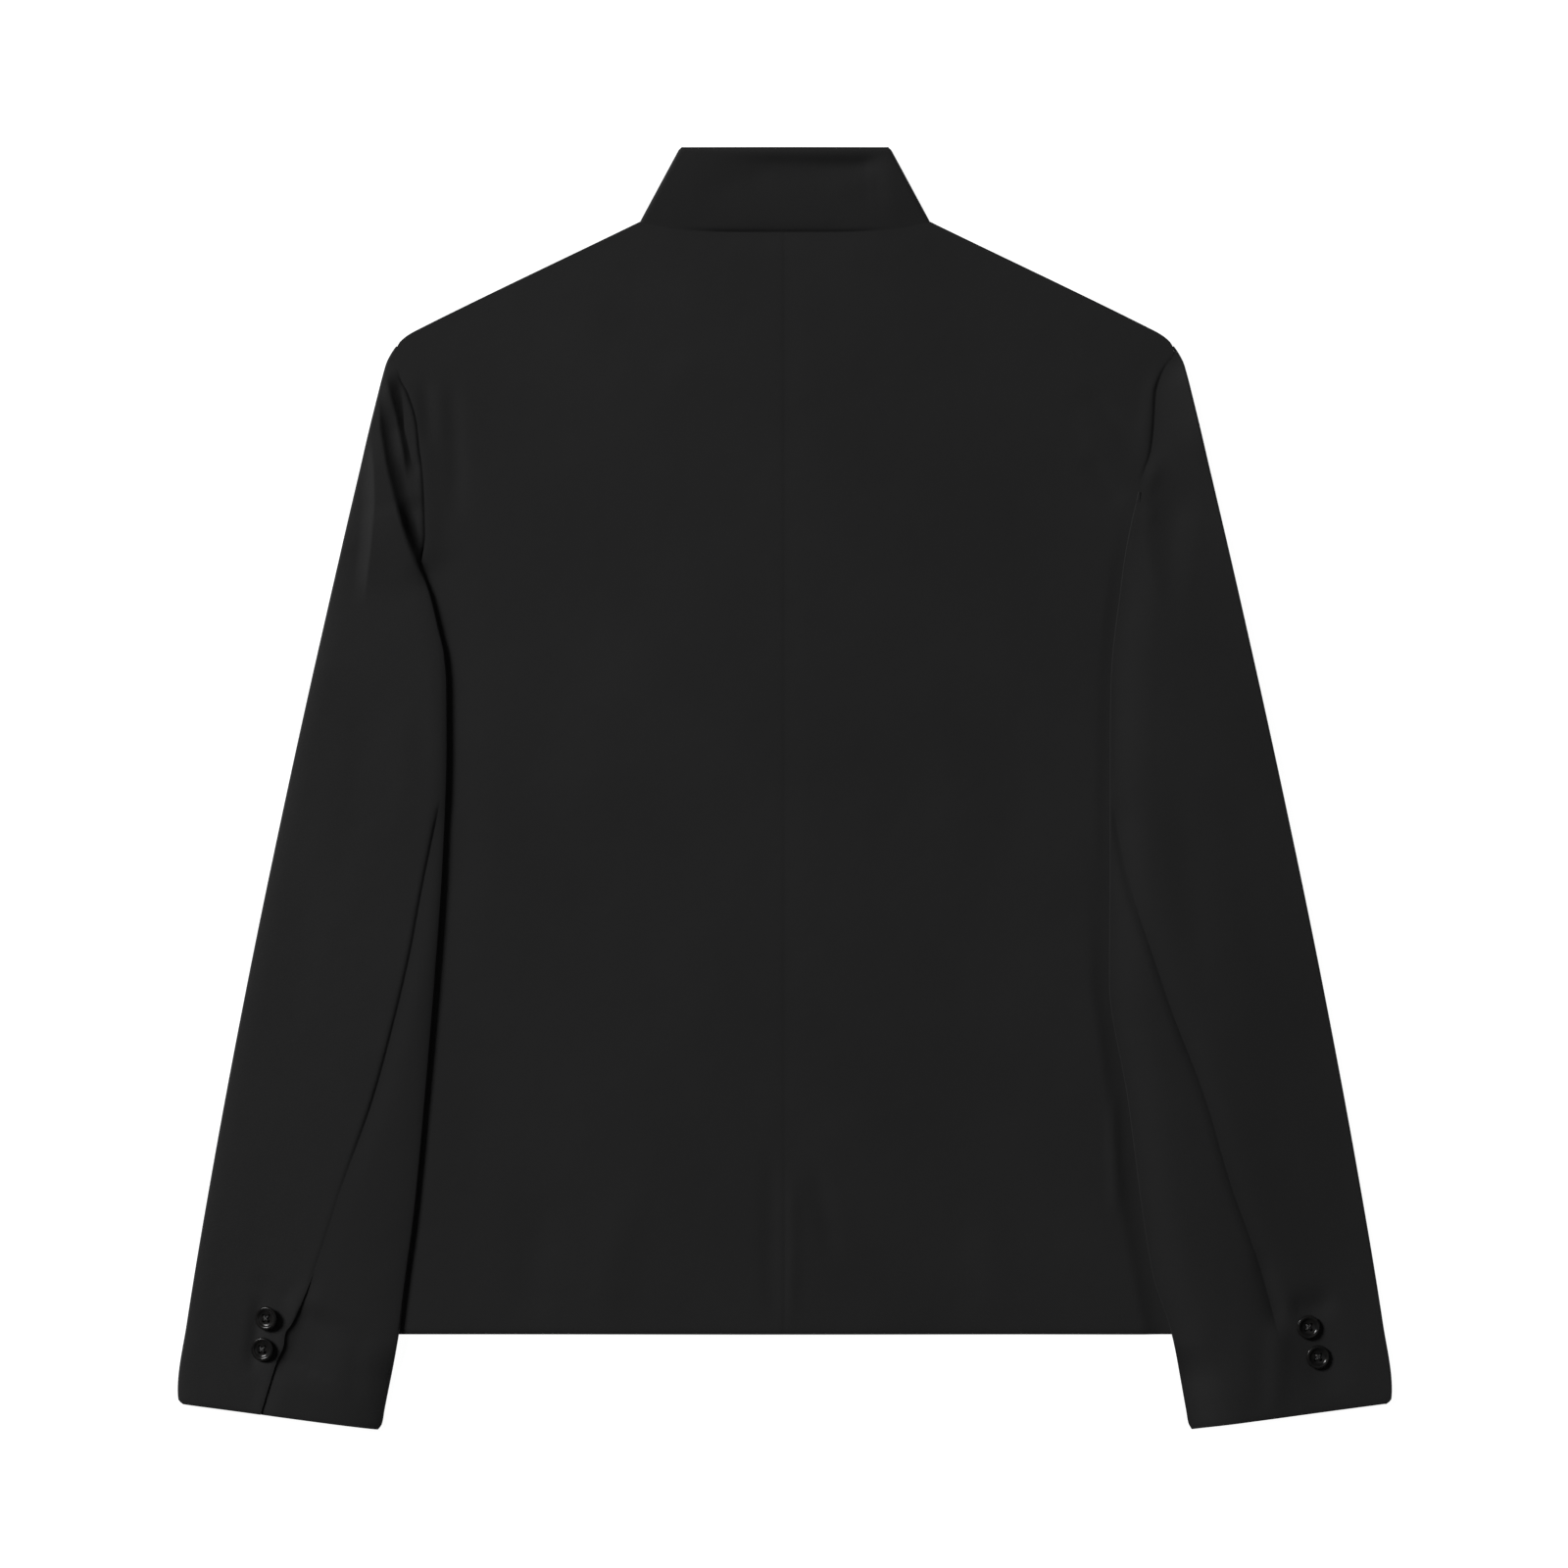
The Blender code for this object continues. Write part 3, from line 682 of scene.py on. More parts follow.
def collar_back(side, step, height):
    half = NECK_CORNER.x + (COLLAR_TOP.x - NECK_CORNER.x) * height - COLLAR_INSET
    x = half * step
    seam_x = (NECK_CORNER.x - COLLAR_INSET) * step
    seam_y = BACK_NECK_Y + (NECK_CORNER.y - BACK_NECK_Y) * (seam_x / NECK_CORNER.x) ** NECK_CURVE
    y = seam_y + (COLLAR_TOP.y - seam_y) * height
    z = back_mid(x) + COLLAR_SWELL * np.sin(pi * height) + crease_height(COLLAR_CREASES, side * x, y)
    above_seam = height * COLLAR_FRONT_HEIGHT
    z = z - COLLAR_SEAM_DEPTH * hump(above_seam, STEEP) * (1 - smooth(x, *COLLAR_SEAM_FADE))
    return x, y, z


def collar_side(side, height):
    """One half of the band, from the centre back round the fold to its front end."""
    over = np.linspace(0, 1, COLLAR_COLUMNS)[None, :]
    turn = np.linspace(0, pi, FOLD_STEPS + 2)[None, 1:-1]
    angle = np.linspace(pi / 2, 0, COLLAR_COLUMNS)[None, :]
    back_x, back_y, back_z = collar_back(side, over, height)
    front_x, front_y, front_z = collar_front(side, angle, height)
    upper, lower = back_z[:, -1:], front_z[:, :1]
    fold_x = back_x[:, -1:] + COLLAR_FOLD * np.sin(turn)
    fold_y = back_y[:, -1:] + (front_y[:, :1] - back_y[:, -1:]) * turn / pi
    fold_z = (upper + lower) / 2 + (upper - lower) / 2 * np.cos(turn)
    x = side * np.concatenate([back_x, fold_x, front_x], axis=1)
    y = np.concatenate([back_y, fold_y, front_y], axis=1)
    z = np.concatenate([back_z, fold_z, front_z], axis=1)
    return np.stack([x, y, z], axis=2)


def collar_surface():
    height = spread(COLLAR_FRONT_HEIGHT, COLLAR_STEP)[:, None]
    left = collar_side(LEFT, height)
    right = collar_side(RIGHT, height)
    points = np.concatenate([left[:, :0:-1], right], axis=1)
    flat = flattened(points, len(left[0]) - 1)
    width = COLLAR_FRONT_HEIGHT * np.ones((1, points.shape[1]))
    middle = 1 - smooth(np.abs(points[:, :, 0]), *COLLAR_SEAM_FADE)
    edges = taper(((1 - height) * width, FREE_EDGE), (height * width, 1 - (1 - FREE_EDGE) * middle))
    return points, flat, edges


# Sleeve surfaces

SleeveRow = namedtuple("SleeveRow", "inner_x inner_y outer_x outer_y")


def sleeve_inner(side, y):
    """The inner edge: the armhole seam above the crossing, the folded edge below it."""
    seam = body_edge(side, y)
    return np.where(y >= CROSSING_Y[side], seam, along(INNER_EDGE, side_name(side), y))


def sleeve_row(side, y_middle):
    """The two ends of a row across a sleeve, which slants towards the cuff."""
    rise = CUFF_HALF * CUFF_SLANT * (1 - smooth(y_middle, CUFF_MIDDLE_Y, SLANT_TOP_Y))
    inner_y, outer_y = y_middle - rise, y_middle + rise
    return SleeveRow(sleeve_inner(side, inner_y), inner_y, along(OUTER_EDGE, "x", outer_y), outer_y)


def hind_seam(side, y):
    inset = HIND_INSET * smooth(CROSSING_Y[side] - y, 0, UNDER_START)
    least = sleeve_inner(side, y) + inset
    return np.where(y > HIND_SEAM_TOP_Y, least, np.maximum(least, along(HIND_SEAM, side_name(side), y)))


def front_seam(side, y):
    seam = along(OUTER_EDGE, "x", y) - FRONT_SEAM_INSET
    return np.where(y > UNDERARM_Y, along(ARMHOLE, side_name(side), y), seam)


def over_body(side, x, y, ramp):
    across = 1 - smooth(x - body_edge(side, y), SIDE_RAMP_START, SIDE_RAMP_START + ramp)
    return across * smooth(y, HEM_Y - HEM_RAMP_START - ramp, HEM_Y - HEM_RAMP_START)


def below_crossing(side, y):
    return smooth(CROSSING_Y[side] - y, *CROSSING_BLEND)


def pressed(side, x, y):
    """The share of its thickness that a sleeve keeps towards its inner edge."""
    near = 1 - smooth(x - sleeve_inner(side, y), 0, THIN_REACH)
    return 1 - (1 - THIN_EDGE[side]) * near * below_crossing(side, y)


def lower_mid(side, x, y):
    body_top = 2 * BODY_WALL + 2 * LAYER_GAP + BACK_LIFT
    return SLEEVE_WALL / 2 * pressed(side, x, y) + body_top * over_body(side, x, y, LOWER_RAMP)


def beneath_mid(side, x, y):
    floor = SLEEVE_WALL / 2
    return floor + (lower_mid(side, x, y) - floor) * smooth(UNDERARM_Y - y, 0, UNDERARM_BLEND)


def cap_lift(side, y):
    """How far the cap is raised, from the crossing up to where it meets the shoulder."""
    starts = smooth(y, CROSSING_Y[side] - CAP_LIFT_BLEND, CROSSING_Y[side] + CAP_LIFT_BLEND)
    return CAP_LIFT[side] * starts * (1 - smooth(y, CAP_LIFT_END_Y, CAP_TOP_Y))


def inner_roll(side, share):
    """How far a sleeve has risen from its inner edge: round on the left, a gentle slope on the right."""
    return rounded(share) if side == LEFT else smooth(share, 0, 1)


def upper_mid(side, x, y):
    """The upper layer of a sleeve: over the lower one, rolled down towards its folded edges, and creased."""
    free = below_crossing(side, y)
    inner = along(INNER_RISE, "mid", CROSSING_Y[side] - y) - INNER_LOWER[side] * free
    outer = along(OUTER_RISE, side_name(side), y)
    mid = outer + (inner - outer) * over_body(side, x, y, UPPER_RAMP)
    mid = mid + crease_height(SLEEVE_CREASES[side], x, y)
    mid = mid + cap_lift(side, y)
    beneath = beneath_mid(side, x, y)
    least = beneath + (lower_mid(side, x, y) - beneath) * free
    least = least + SLEEVE_WALL * pressed(side, x, y) + LEAST_GAP
    inside = (x - sleeve_inner(side, y)) / along(INNER_REACH, side_name(side), y)
    keep_inside = 1 - (1 - INNER_LEAST[side]) * free * (1 - inner_roll(side, inside))
    outside = rounded((along(OUTER_EDGE, "x", y) - x) / OUTER_REACH)
    below_cap = smooth(CAP_TOP_Y - y, 0, OUTER_ROLL_START)
    keep_outside = 1 - (1 - OUTER_LEAST[side]) * (1 - outside) * below_cap
    return least + np.maximum(mid - least, 0) * np.minimum(keep_inside, keep_outside)


def row_y(row, x):
    return row.inner_y + (row.outer_y - row.inner_y) * (x - row.inner_x) / (row.outer_x - row.inner_x)


def hind_start(side, y_middle, row):
    """Where a row meets the hind seam."""
    share = (hind_seam(side, y_middle) - row.inner_x) / (row.outer_x - row.inner_x)
    return hind_seam(side, row.inner_y + (row.outer_y - row.inner_y) * share)


def sleeve_rows(top):
    """Rows up the sleeve, closer together at the rounded corners of the cuff."""
    cuff = np.linspace(CUFF_MIDDLE_Y, CUFF_MIDDLE_Y + CUFF_CORNER, CUFF_ROWS)
    above = np.linspace(cuff[-1], top, round((top - cuff[-1]) / SLEEVE_STEP))
    return np.concatenate([cuff[:-1], above])[:, None]


def folded(place_x, place_y, reach, high, low):
    """Points round a fold from the upper layer to the lower one."""
    turn = np.linspace(0, pi, FOLD_STEPS + 2)[None, 1:-1]
    z = (high + low) / 2 + (high - low) / 2 * np.cos(turn)
    return place_x + reach * np.sin(turn), place_y + 0 * turn, z


def joined(side, *stretches):
    x, y, z = (np.concatenate(parts, axis=1) for parts in zip(*stretches))
    return np.stack([side * x, y, z], axis=2)


def flattened(points, origin_column):
    """The cloth's own coordinates: how far round a row from a column, and how far up it."""
    steps = np.linalg.norm(np.diff(points, axis=1), axis=2)
    around = np.concatenate([np.zeros((len(points), 1)), np.cumsum(steps, axis=1)], axis=1)
    around = around - around[:, origin_column:origin_column + 1]
    return np.stack([around, points[:, :, 1]], axis=2)


def seam_shows(side, y):
    """1 along the armhole and along the hind seam, and 0 between them, where the sleeve is only folded."""
    starts = smooth(HIND_SEAM_TOP_Y - y, *HIND_START)
    fades = 1 - HIND[side].fade * smooth(-y, *HIND_FADE)
    return armhole_shows(side, y) + starts * fades * smooth(y, *HIND[side].end)


def hind_edge(side, x, y, start, edge):
    """How the cloth rolls down into the hind seam, or stands at an open vent."""
    away = np.abs(x - start)
    vent = (1 - smooth(y, VENT_TOP_Y - VENT_BLEND, VENT_TOP_Y)) * HIND[side].opens
    roll = -HIND[side].depth * hump(away, edge.reach) * seam_shows(side, y)
    return (1 - vent) * roll + vent * edge.vent * hump(away, VENT_ROLL)


def sleeve_edges(side, points, around, y_middle, hind_share):
    """How thick a sleeve piece is: thinner at its hind seam, where that shows, and at its cuff."""
    distance = around[:, :, 0]
    hind = 1 + (hind_share - 1) * seam_shows(side, y_middle)
    cuff = (y_middle - CUFF_MIDDLE_Y) * np.ones((1, distance.shape[1]))
    edges = taper((distance - distance[:, :1], hind), (cuff, FREE_EDGE))
    return np.minimum(edges, pressed(side, side * points[:, :, 0], points[:, :, 1]))


def top_sleeve_surface(side):
    """From the hind seam over the cap and round the outer fold to the front seam beneath."""
    edge = HIND[side].top
    y_middle = sleeve_rows(SLEEVE_TOP_Y)
    row = sleeve_row(side, y_middle)
    reach = np.minimum(SLEEVE_FOLD, CAP_FOLD_SHARE * (row.outer_x - row.inner_x))
    turn_x = row.outer_x - reach
    start = hind_start(side, y_middle, row)
    across = spread(TOP_SLEEVE_WIDTH, SLEEVE_STEP)
    x = start + (turn_x - start) * across[None, :]
    y = row_y(row, x)
    upper = x, y, upper_mid(side, x, y) + hind_edge(side, x, y, start, edge)
    turn_y = row_y(row, turn_x)
    fold = folded(turn_x, turn_y, reach, upper[2][:, -1:], beneath_mid(side, turn_x, turn_y))
    end = front_seam(side, row.outer_y)
    x_beneath = turn_x + (end - turn_x) * np.linspace(0, 1, HIDDEN_COLUMNS)[None, :]
    y_beneath = row_y(row, x_beneath)
    beneath = x_beneath, y_beneath, beneath_mid(side, x_beneath, y_beneath)
    points = joined(side, upper, fold, beneath)
    around = flattened(points, len(across) - 1)
    return points, around, sleeve_edges(side, points, around, y_middle, edge.thin)


def under_sleeve_surface(side):
    """From the hind seam round the inner fold to the front seam beneath."""
    edge = HIND[side].under
    y_middle = sleeve_rows(CROSSING_Y[side] - UNDER_TIP)
    row = sleeve_row(side, y_middle)
    start = hind_start(side, y_middle, row)
    reach = np.minimum(INNER_FOLD[side], CAP_FOLD_SHARE * (start - row.inner_x))
    turn_x = row.inner_x + reach
    across = spread(UNDER_SLEEVE_WIDTH, SLEEVE_STEP)
    x = start + (turn_x - start) * across[None, :]
    y = row_y(row, x)
    upper = x, y, upper_mid(side, x, y) + hind_edge(side, x, y, start, edge)
    turn_y = row_y(row, turn_x)
    fold = folded(turn_x, turn_y, -reach, upper[2][:, -1:], lower_mid(side, turn_x, turn_y))
    end = front_seam(side, row.outer_y)
    x_lower = turn_x + (end - turn_x) * np.linspace(0, 1, 2 * HIDDEN_COLUMNS)[None, :]
    y_lower = row_y(row, x_lower)
    lower = x_lower, y_lower, lower_mid(side, x_lower, y_lower)
    points = joined(side, upper, fold, lower)
    around = flattened(points, len(across) - 1)
    return points, around, sleeve_edges(side, points, around, y_middle, edge.thin)


# Making the pieces

def link(piece):
    bpy.context.scene.collection.objects.link(piece)
    return piece


def finished_mesh(piece):
    """A piece's mesh with its modifiers applied. The piece itself is removed."""
    graph = bpy.context.evaluated_depsgraph_get()
    mesh = bpy.data.meshes.new_from_object(piece.evaluated_get(graph))
    bpy.data.objects.remove(piece, do_unlink=True)
    return mesh


def cloth_shell(node, surface, wall, material):
    """A fine grid laid on a surface, thinned at its edges, with the cloth's own coordinates as its UV map."""
    name = node + "_cloth"
    points, flat, edges = surface
    row_count, column_count = points.shape[:2]
    grid = bmesh.new()
    bmesh.ops.create_grid(grid, x_segments=column_count - 1, y_segments=row_count - 1, size=0.5)
    columns = [round((vertex.co.x + 0.5) * (column_count - 1)) for vertex in grid.verts]
    rows = [round((vertex.co.y + 0.5) * (row_count - 1)) for vertex in grid.verts]
    for vertex, point in zip(grid.verts, points[rows, columns] * MM):
        vertex.co = point
    mesh = bpy.data.meshes.new(name)
    grid.to_mesh(mesh)
    grid.free()
    corners = np.empty(len(mesh.loops), np.int32)
    mesh.loops.foreach_get("vertex_index", corners)
    cloth_map = mesh.uv_layers.new(name=CLOTH_MAP)
    cloth_map.data.foreach_set("uv", (flat[rows, columns] * MM)[corners].astype(np.float32).ravel())
    mesh.polygons.foreach_set("use_smooth", np.ones(len(mesh.polygons), bool))
    mesh.materials.append(material)
    mid_surface = link(bpy.data.objects.new(name + "_mid_surface", mesh))
    share = edges[rows, columns]
    group = mid_surface.vertex_groups.new(name="thickness")
    group.add(np.flatnonzero(share > FULL_SHARE).tolist(), 1.0, "REPLACE")
    for index in np.flatnonzero(share <= FULL_SHARE):
        group.add([int(index)], float(share[index]), "REPLACE")
    thickness = mid_surface.modifiers.new("Thickness", "SOLIDIFY")
    thickness.thickness = wall * MM
    thickness.offset = 0.0
    thickness.vertex_group = group.name
    wall_mesh = finished_mesh(mid_surface)
    wall_mesh.set_sharp_from_angle(angle=radians(RIM_ANGLE))
    piece = link(bpy.data.objects.new(name, wall_mesh))
    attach(piece, "root")
    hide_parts(node)


def button_profile():
    """Half a button's section, from the middle of its dish over the rim to the middle of its back."""
    radius = BUTTON_DIAMETER / 2
    floor = BUTTON_EDGE - BUTTON_DISH
    half_rim = BUTTON_RIM / 2
    half_edge = BUTTON_EDGE / 2
    turns = np.linspace(0, RIM_TURN, RIM_STEPS)
    return [
        (0.0, floor),
        *((radius - BUTTON_RIM - inset, floor + rise) for inset, rise in DISH_SLOPE),
        *((radius - share * BUTTON_RIM, BUTTON_EDGE - drop) for share, drop in RIM_SLOPE),
        *((radius - half_rim + half_rim * sin(turn), half_edge + half_edge * cos(turn)) for turn in turns),
        (radius - BACK_INSET, 0.0),
        (0.0, 0.0),
    ]


def turned_button(name):
    """A button at the origin, with its four holes drilled."""
    body = bmesh.new()
    profile = [body.verts.new((radius * MM, 0.0, z * MM)) for radius, z in button_profile()]
    for first, second in zip(profile, profile[1:]):
        body.edges.new((first, second))
    bmesh.ops.spin(
        body, geom=body.verts[:] + body.edges[:], axis=(0, 0, 1), cent=(0, 0, 0),
        angle=2 * pi, steps=BUTTON_STEPS, use_merge=True,
    )
    bmesh.ops.remove_doubles(body, verts=body.verts, dist=MERGE_DISTANCE)
    bmesh.ops.recalc_face_normals(body, faces=body.faces)
    pegs = bmesh.new()
    for x in (-1, 1):
        for y in (-1, 1):
            bmesh.ops.create_cone(
                pegs, cap_ends=True, segments=HOLE_STEPS, radius1=BUTTON_HOLE / 2 * MM,
                radius2=BUTTON_HOLE / 2 * MM, depth=PEG_LENGTH * MM,
                matrix=Matrix.Translation(Vector((x, y, 0)) * BUTTON_HOLE_SPACING / 2 * MM),
            )
    made = []
    for part_name, part in ((name, body), (name + "_pegs", pegs)):
        mesh = bpy.data.meshes.new(part_name)
        part.to_mesh(mesh)
        part.free()
        made.append(link(bpy.data.objects.new(part_name, mesh)))
    button, drill = made
    holes = button.modifiers.new("Holes", "BOOLEAN")
    holes.object = drill
    holes.operation = "DIFFERENCE"
    holes.solver = "EXACT"
    drilled = finished_mesh(button)
    bpy.data.objects.remove(drill, do_unlink=True)
    return drilled


def sewn_thread(name, shank):
    """Two strands each way that cross over a button and go down its holes to a wound shank of this length."""
    curve = bpy.data.curves.new(name, "CURVE")
    curve.dimensions = "3D"
    curve.bevel_depth = THREAD / 2 * MM
    curve.bevel_resolution = THREAD_ROUNDNESS
    curve.use_fill_caps = True
    reach = BUTTON_HOLE_SPACING / 2
    floor = BUTTON_EDGE - BUTTON_DISH
    shares = np.linspace(-1, 1, STRAND_POINTS)
    for offset in (-0.5, 0.5):
        apart = offset * THREAD * STRAND_SPACING * DIAGONAL
        for slant, top in STRANDS:
            spline = curve.splines.new("POLY")
            spline.points.add(len(shares) - 1)
            for point, share in zip(spline.points, shares):
                x = reach * share - apart
                y = slant * reach * share + slant * apart
                rise = top * (1 - abs(share) ** 3) - STRAND_DIP * abs(share) ** 8
                point.co = (x * MM, y * MM, (floor + rise) * MM, 1.0)
    mesh = finished_mesh(link(bpy.data.objects.new(name, curve)))
    sewing = bmesh.new()
    sewing.from_mesh(mesh)
    bmesh.ops.remove_doubles(sewing, verts=sewing.verts, dist=MERGE_DISTANCE)
    bmesh.ops.create_cone(
        sewing, cap_ends=True, segments=HOLE_STEPS, radius1=SHANK / 2 * MM, radius2=SHANK / 2 * MM,
        depth=shank * MM, matrix=Matrix.Translation((0, 0, -shank / 2 * MM)),
    )
    sewing.to_mesh(mesh)
    sewing.free()
    return mesh


def placed(mesh, name, matrix, material):
    mesh.transform(matrix)
    mesh.name = name
    mesh.materials.clear()
    mesh.materials.append(material)
    mesh.polygons.foreach_set("use_smooth", np.ones(len(mesh.polygons), bool))
    piece = link(bpy.data.objects.new(name, mesh))
    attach(piece, "root")
    return piece


def resting_height(side, x, y, lean):
    """How high the back of a button lies in its middle when its rim rests on the sleeve."""
    turn = np.linspace(0, 2 * pi, BUTTON_STEPS)
    reach = BUTTON_DIAMETER / 2 - BUTTON_ROUND
    outwards = reach * np.cos(turn)
    upwards = reach * np.sin(turn)
    cloth = upper_mid(side, x + outwards * cos(lean), y + upwards) + SLEEVE_WALL / 2
    return np.max(cloth + outwards * sin(lean)) + BUTTON_GAP


def make_button(name, side, x, y, lean):
    height = resting_height(side, x, y, radians(lean))
    shank = height - upper_mid(side, x, y) - SLEEVE_WALL / 2 + SHANK_SUNK
    place = Matrix.Translation(Vector((side * x, y, height)) * MM)
    matrix = place @ Matrix.Rotation(side * radians(lean), 4, "Y")
    button = placed(turned_button(name + "_turned"), name + "_finished", matrix, HORN)
    button.data.set_sharp_from_angle(angle=radians(BUTTON_SHARP_ANGLE))
    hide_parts(name)
    placed(sewn_thread(name + "_strand", float(shank)), name + "_thread", matrix, SEWING_THREAD)


# Finishes

def grey(level):
    return level, level, level


# A pattern has a scale per metre, a bump a depth in metres, and a shade two levels and their colours
Pattern = namedtuple("Pattern", "scale detail")
Bump = namedtuple("Bump", "distance strength")
TWILL = {"Scale": 620.0, "Distortion": 1.2, "Detail": 1.0, "Detail Scale": 2.0}
FLECK = Pattern(900.0, 2.0)
CLOUD = Pattern(9.0, 3.0)
LIE = Pattern(26.0, 2.0)
LIE_BUMP = Bump(0.0012, 0.35)
WEAVE_BUMP = Bump(0.00012, 0.35)
FLECK_BUMP = Bump(0.0002, 0.3)
WOOL_DYE = ((0.35, (0.0100, 0.0100, 0.0102)), (0.68, (0.0120, 0.0120, 0.0122)))
# The collar's dye is the wool's made darker: painted shade, because the collar is the same cloth as the back
COLLAR_PAINTED_SHADE_DYE = ((0.35, (0.0078, 0.0078, 0.0080)), (0.68, (0.0094, 0.0094, 0.0096)))
YARN_SHADE = ((0.3, grey(0.78)), (0.74, grey(1.0)))
WOOL_ROUGHNESS = ((0.25, grey(0.74)), (0.75, grey(0.84)))
WOOL_FINISH = {"Specular IOR Level": 0.28, "Sheen Weight": 0.06, "Sheen Roughness": 0.45}
HORN_CLOUD = Pattern(260.0, 3.0)
HORN_RUB = Pattern(2400.0, 2.0)
RUB_BUMP = Bump(0.00003, 0.2)
HORN_COLOUR = ((0.35, grey(0.006)), (0.7, (0.0105, 0.010, 0.0095)))
HORN_ROUGHNESS = ((0.3, grey(0.16)), (0.75, grey(0.26)))
HORN_FINISH = {"Specular IOR Level": 0.2}
TWIST = Pattern(5200.0, 1.0)
TWIST_BUMP = Bump(0.00015, 0.6)
THREAD_COLOUR = ((0.3, grey(0.02)), (0.7, grey(0.06)))
THREAD_FINISH = {"Roughness": 0.35}
FLOOR_FINISH = {
    "Base Color": (*grey(0.3), 1),
    "Roughness": 0.9,
    "Specular IOR Level": 0.1,
    "Emission Color": (*grey(1), 1),
    "Emission Strength": 0.97,
}
# The places of the Mix node's colour sockets, which share their names with its other sockets
MIX_FIRST, MIX_SECOND, MIX_RESULT = 6, 7, 2


def new_material(name):
    material = bpy.data.materials.new(name)
    material.use_nodes = True
    return material, material.node_tree.nodes["Principled BSDF"]


def set_inputs(node, values):
    for name, value in values.items():
        node.inputs[name].default_value = value


def noise(tree, vector, pattern):
    texture = tree.nodes.new("ShaderNodeTexNoise")
    set_inputs(texture, {"Scale": pattern.scale, "Detail": pattern.detail})
    tree.links.new(vector, texture.inputs["Vector"])
    return texture.outputs["Fac"]


def shaded(tree, value, shade):
    band = tree.nodes.new("ShaderNodeValToRGB")
    for element, (place, colour) in zip(band.color_ramp.elements, shade):
        element.position = place
        element.color = (*colour, 1)
    tree.links.new(value, band.inputs["Fac"])
    return band.outputs["Color"]


def multiplied(tree, first, second):
    mix = tree.nodes.new("ShaderNodeMix")
    mix.data_type = "RGBA"
    mix.blend_type = "MULTIPLY"
    mix.inputs["Factor"].default_value = 1.0
    tree.links.new(first, mix.inputs[MIX_FIRST])
    tree.links.new(second, mix.inputs[MIX_SECOND])
    return mix.outputs[MIX_RESULT]


def bumped(tree, height, bump, below=None):
    relief = tree.nodes.new("ShaderNodeBump")
    set_inputs(relief, {"Distance": bump.distance, "Strength": bump.strength})
    tree.links.new(height, relief.inputs["Height"])
    if below:
        tree.links.new(below, relief.inputs["Normal"])
    return relief.outputs["Normal"]


def wool_suiting(name, dye):
    """Black worsted: a fine twill with a short nap, a little uneven in its dye and in how it lies."""
    material, shader = new_material(name)
    tree = material.node_tree
    cloth_map = tree.nodes.new("ShaderNodeUVMap")
    cloth_map.uv_map = CLOTH_MAP
    vector = cloth_map.outputs["UV"]
    twill = tree.nodes.new("ShaderNodeTexWave")
    twill.wave_type = "BANDS"
    twill.bands_direction = "DIAGONAL"
    set_inputs(twill, TWILL)
    tree.links.new(vector, twill.inputs["Vector"])
    fleck = noise(tree, vector, FLECK)
    cloud = noise(tree, vector, CLOUD)
    colour = multiplied(tree, shaded(tree, cloud, dye), shaded(tree, fleck, YARN_SHADE))
    tree.links.new(colour, shader.inputs["Base Color"])
    tree.links.new(shaded(tree, fleck, WOOL_ROUGHNESS), shader.inputs["Roughness"])
    set_inputs(shader, WOOL_FINISH)
    lie = bumped(tree, noise(tree, vector, LIE), LIE_BUMP)
    weave = bumped(tree, twill.outputs["Fac"], WEAVE_BUMP, lie)
    tree.links.new(bumped(tree, fleck, FLECK_BUMP, weave), shader.inputs["Normal"])
    return material


def polished_horn():
    """The buttons: black, polished, faintly clouded, with fine rubbing on their faces."""
    material, shader = new_material("black_polished_button")
    tree = material.node_tree
    vector = tree.nodes.new("ShaderNodeTexCoord").outputs["Object"]
    cloud = noise(tree, vector, HORN_CLOUD)
    rub = noise(tree, vector, HORN_RUB)
    tree.links.new(shaded(tree, cloud, HORN_COLOUR), shader.inputs["Base Color"])
    tree.links.new(shaded(tree, rub, HORN_ROUGHNESS), shader.inputs["Roughness"])
    set_inputs(shader, HORN_FINISH)
    tree.links.new(bumped(tree, rub, RUB_BUMP), shader.inputs["Normal"])
    return material


def button_thread():
    """Black twisted thread with a slight shine."""
    material, shader = new_material("black_button_thread")
    tree = material.node_tree
    vector = tree.nodes.new("ShaderNodeTexCoord").outputs["Object"]
    twist = noise(tree, vector, TWIST)
    tree.links.new(shaded(tree, twist, THREAD_COLOUR), shader.inputs["Base Color"])
    set_inputs(shader, THREAD_FINISH)
    tree.links.new(bumped(tree, twist, TWIST_BUMP), shader.inputs["Normal"])
    return material


def pale_floor():
    material, shader = new_material("pale_floor")
    set_inputs(shader, FLOOR_FINISH)
    return material


# Stage, light and camera

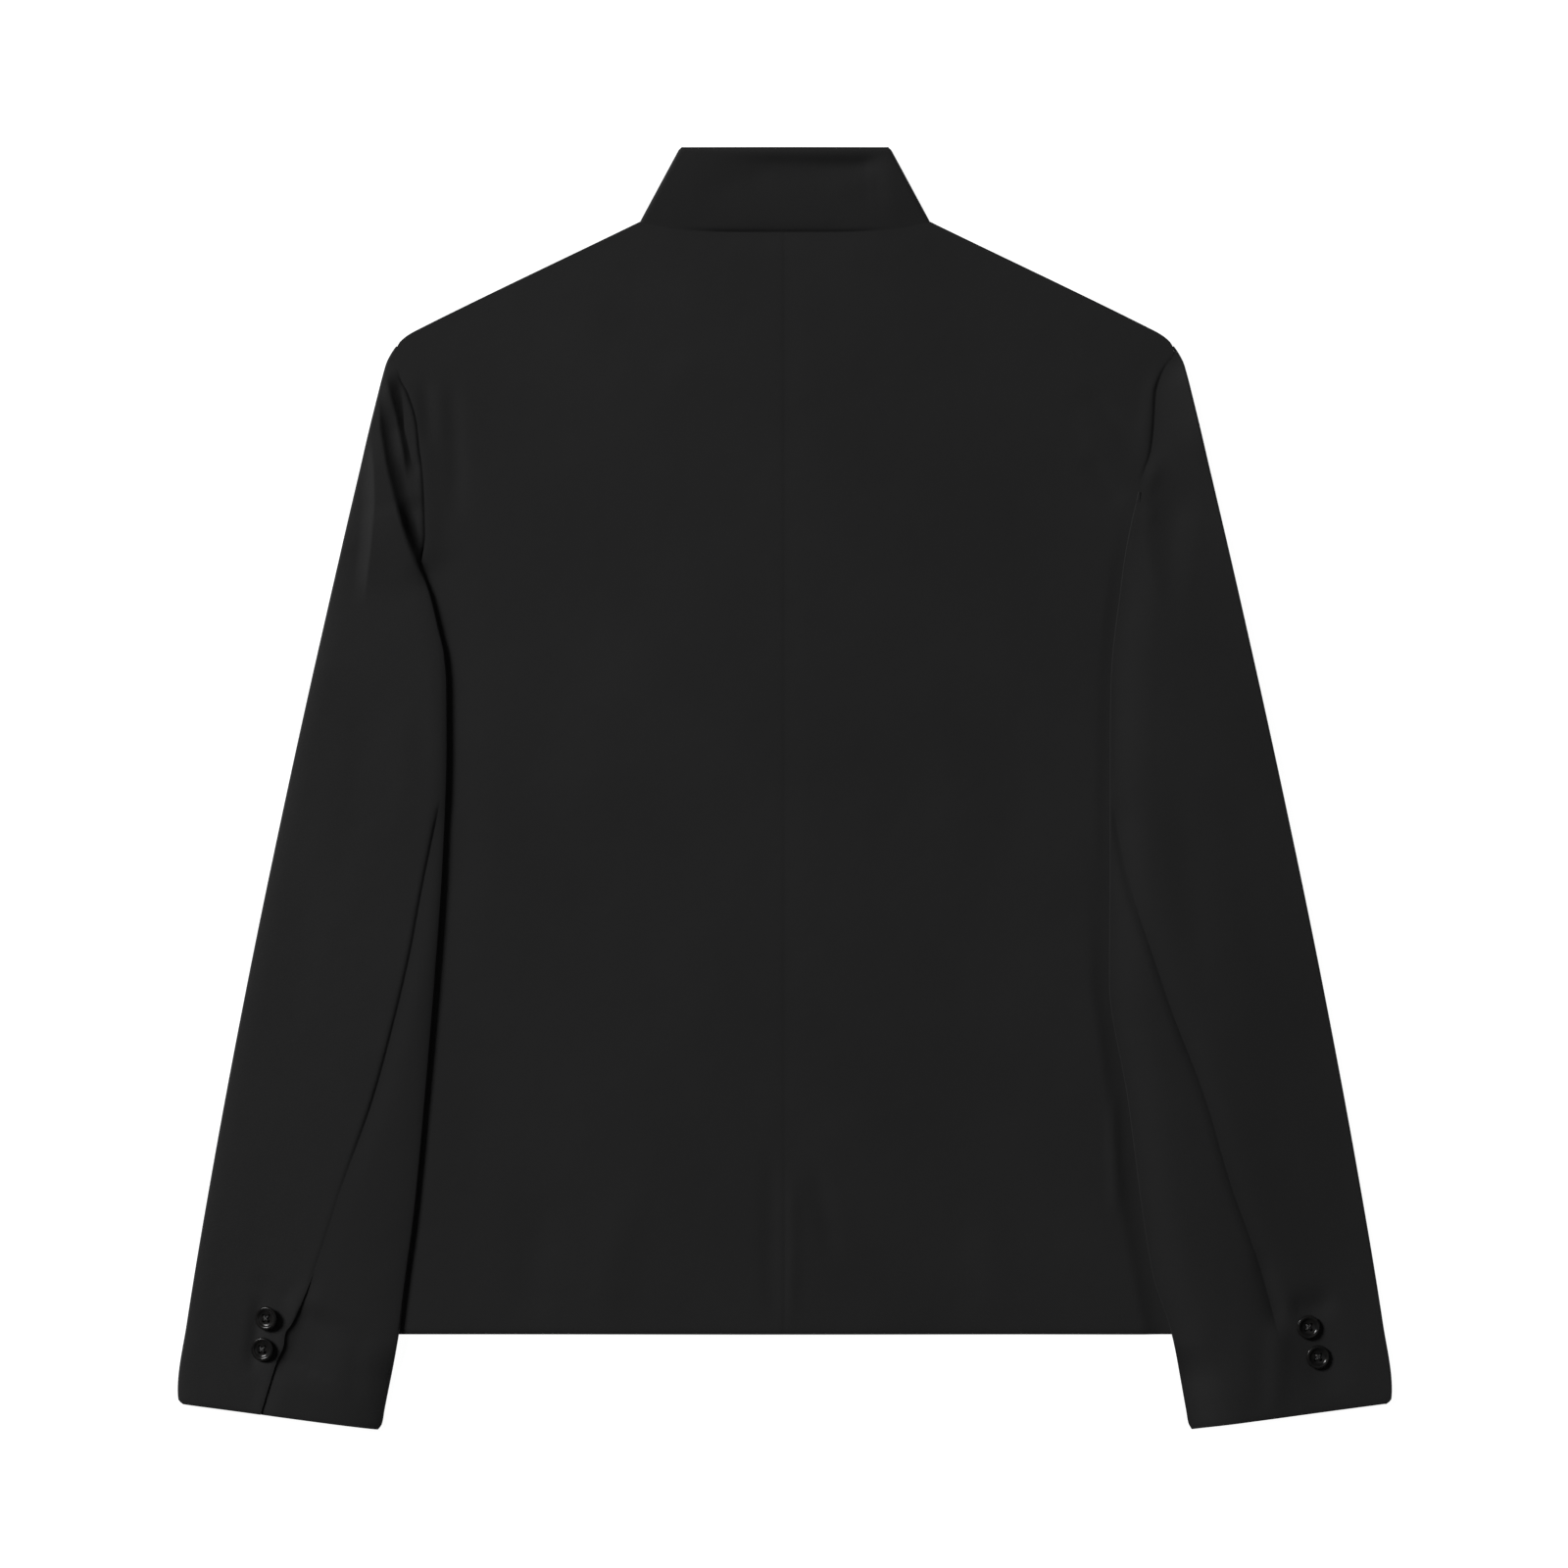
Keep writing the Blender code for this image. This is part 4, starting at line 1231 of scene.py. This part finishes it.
def make_floor():
    plane = bmesh.new()
    bmesh.ops.create_grid(plane, x_segments=1, y_segments=1, size=FLOOR_SIZE)
    mesh = bpy.data.meshes.new("floor")
    plane.to_mesh(mesh)
    plane.free()
    mesh.materials.append(pale_floor())
    floor = link(bpy.data.objects.new("floor", mesh))
    floor.location.z = FLOOR_Z


def hang_lamp(lamp):
    """A round soft light that points at the middle of the floor."""
    source = bpy.data.lights.new(lamp.name, "AREA")
    source.shape = "DISK"
    source.size = lamp.size
    source.energy = lamp.power
    light = link(bpy.data.objects.new(lamp.name, source))
    light.location = lamp.place
    light.rotation_euler = (-Vector(lamp.place)).to_track_quat("-Z", "Y").to_euler()
    light.visible_camera = False


def make_light():
    for lamp in LAMPS:
        hang_lamp(lamp)
    world = bpy.context.scene.world or bpy.data.worlds.new("studio")
    bpy.context.scene.world = world
    world.use_nodes = True
    set_inputs(world.node_tree.nodes["Background"], {"Color": (*grey(1), 1), "Strength": ROOM_LIGHT})


def make_camera():
    camera = link(bpy.data.objects.new("camera", bpy.data.cameras.new("camera")))
    camera.data.lens = LENS
    camera.data.sensor_width = SENSOR
    distance = PHOTO_SIDE * PIXEL * LENS / SENSOR + CLOTH_LEVEL
    camera.location = Vector((*PHOTO_MIDDLE, distance)) * MM
    camera.data.clip_end = CAMERA_END
    bpy.context.scene.camera = camera
    bpy.context.scene.view_settings.view_transform = "Standard"
    bpy.context.scene.view_settings.look = "None"


WOOL = wool_suiting("black_wool_suiting", WOOL_DYE)
# A darker copy of the same wool for the collar, painted shade
COLLAR_PAINTED_SHADE_WOOL = wool_suiting("black_wool_suiting_painted_shade", COLLAR_PAINTED_SHADE_DYE)
HORN = polished_horn()
SEWING_THREAD = button_thread()

for side in (LEFT, RIGHT):
    word = side_name(side)
    back = "back_" + word
    top = "sleeve_%s_top" % word
    under = "sleeve_%s_under" % word
    cloth_shell(back, back_surface(side), BODY_WALL, WOOL)
    cloth_shell("front_" + word, front_surface(side), BODY_WALL, WOOL)
    cloth_shell(top, top_sleeve_surface(side), SLEEVE_WALL, WOOL)
    cloth_shell(under, under_sleeve_surface(side), SLEEVE_WALL, WOOL)
# The collar takes the darker copy of the wool, which is painted shade
cloth_shell("collar", collar_surface(), COLLAR_WALL, COLLAR_PAINTED_SHADE_WOOL)
for details in BUTTONS:
    make_button(*details)

make_floor()
make_light()
make_camera()
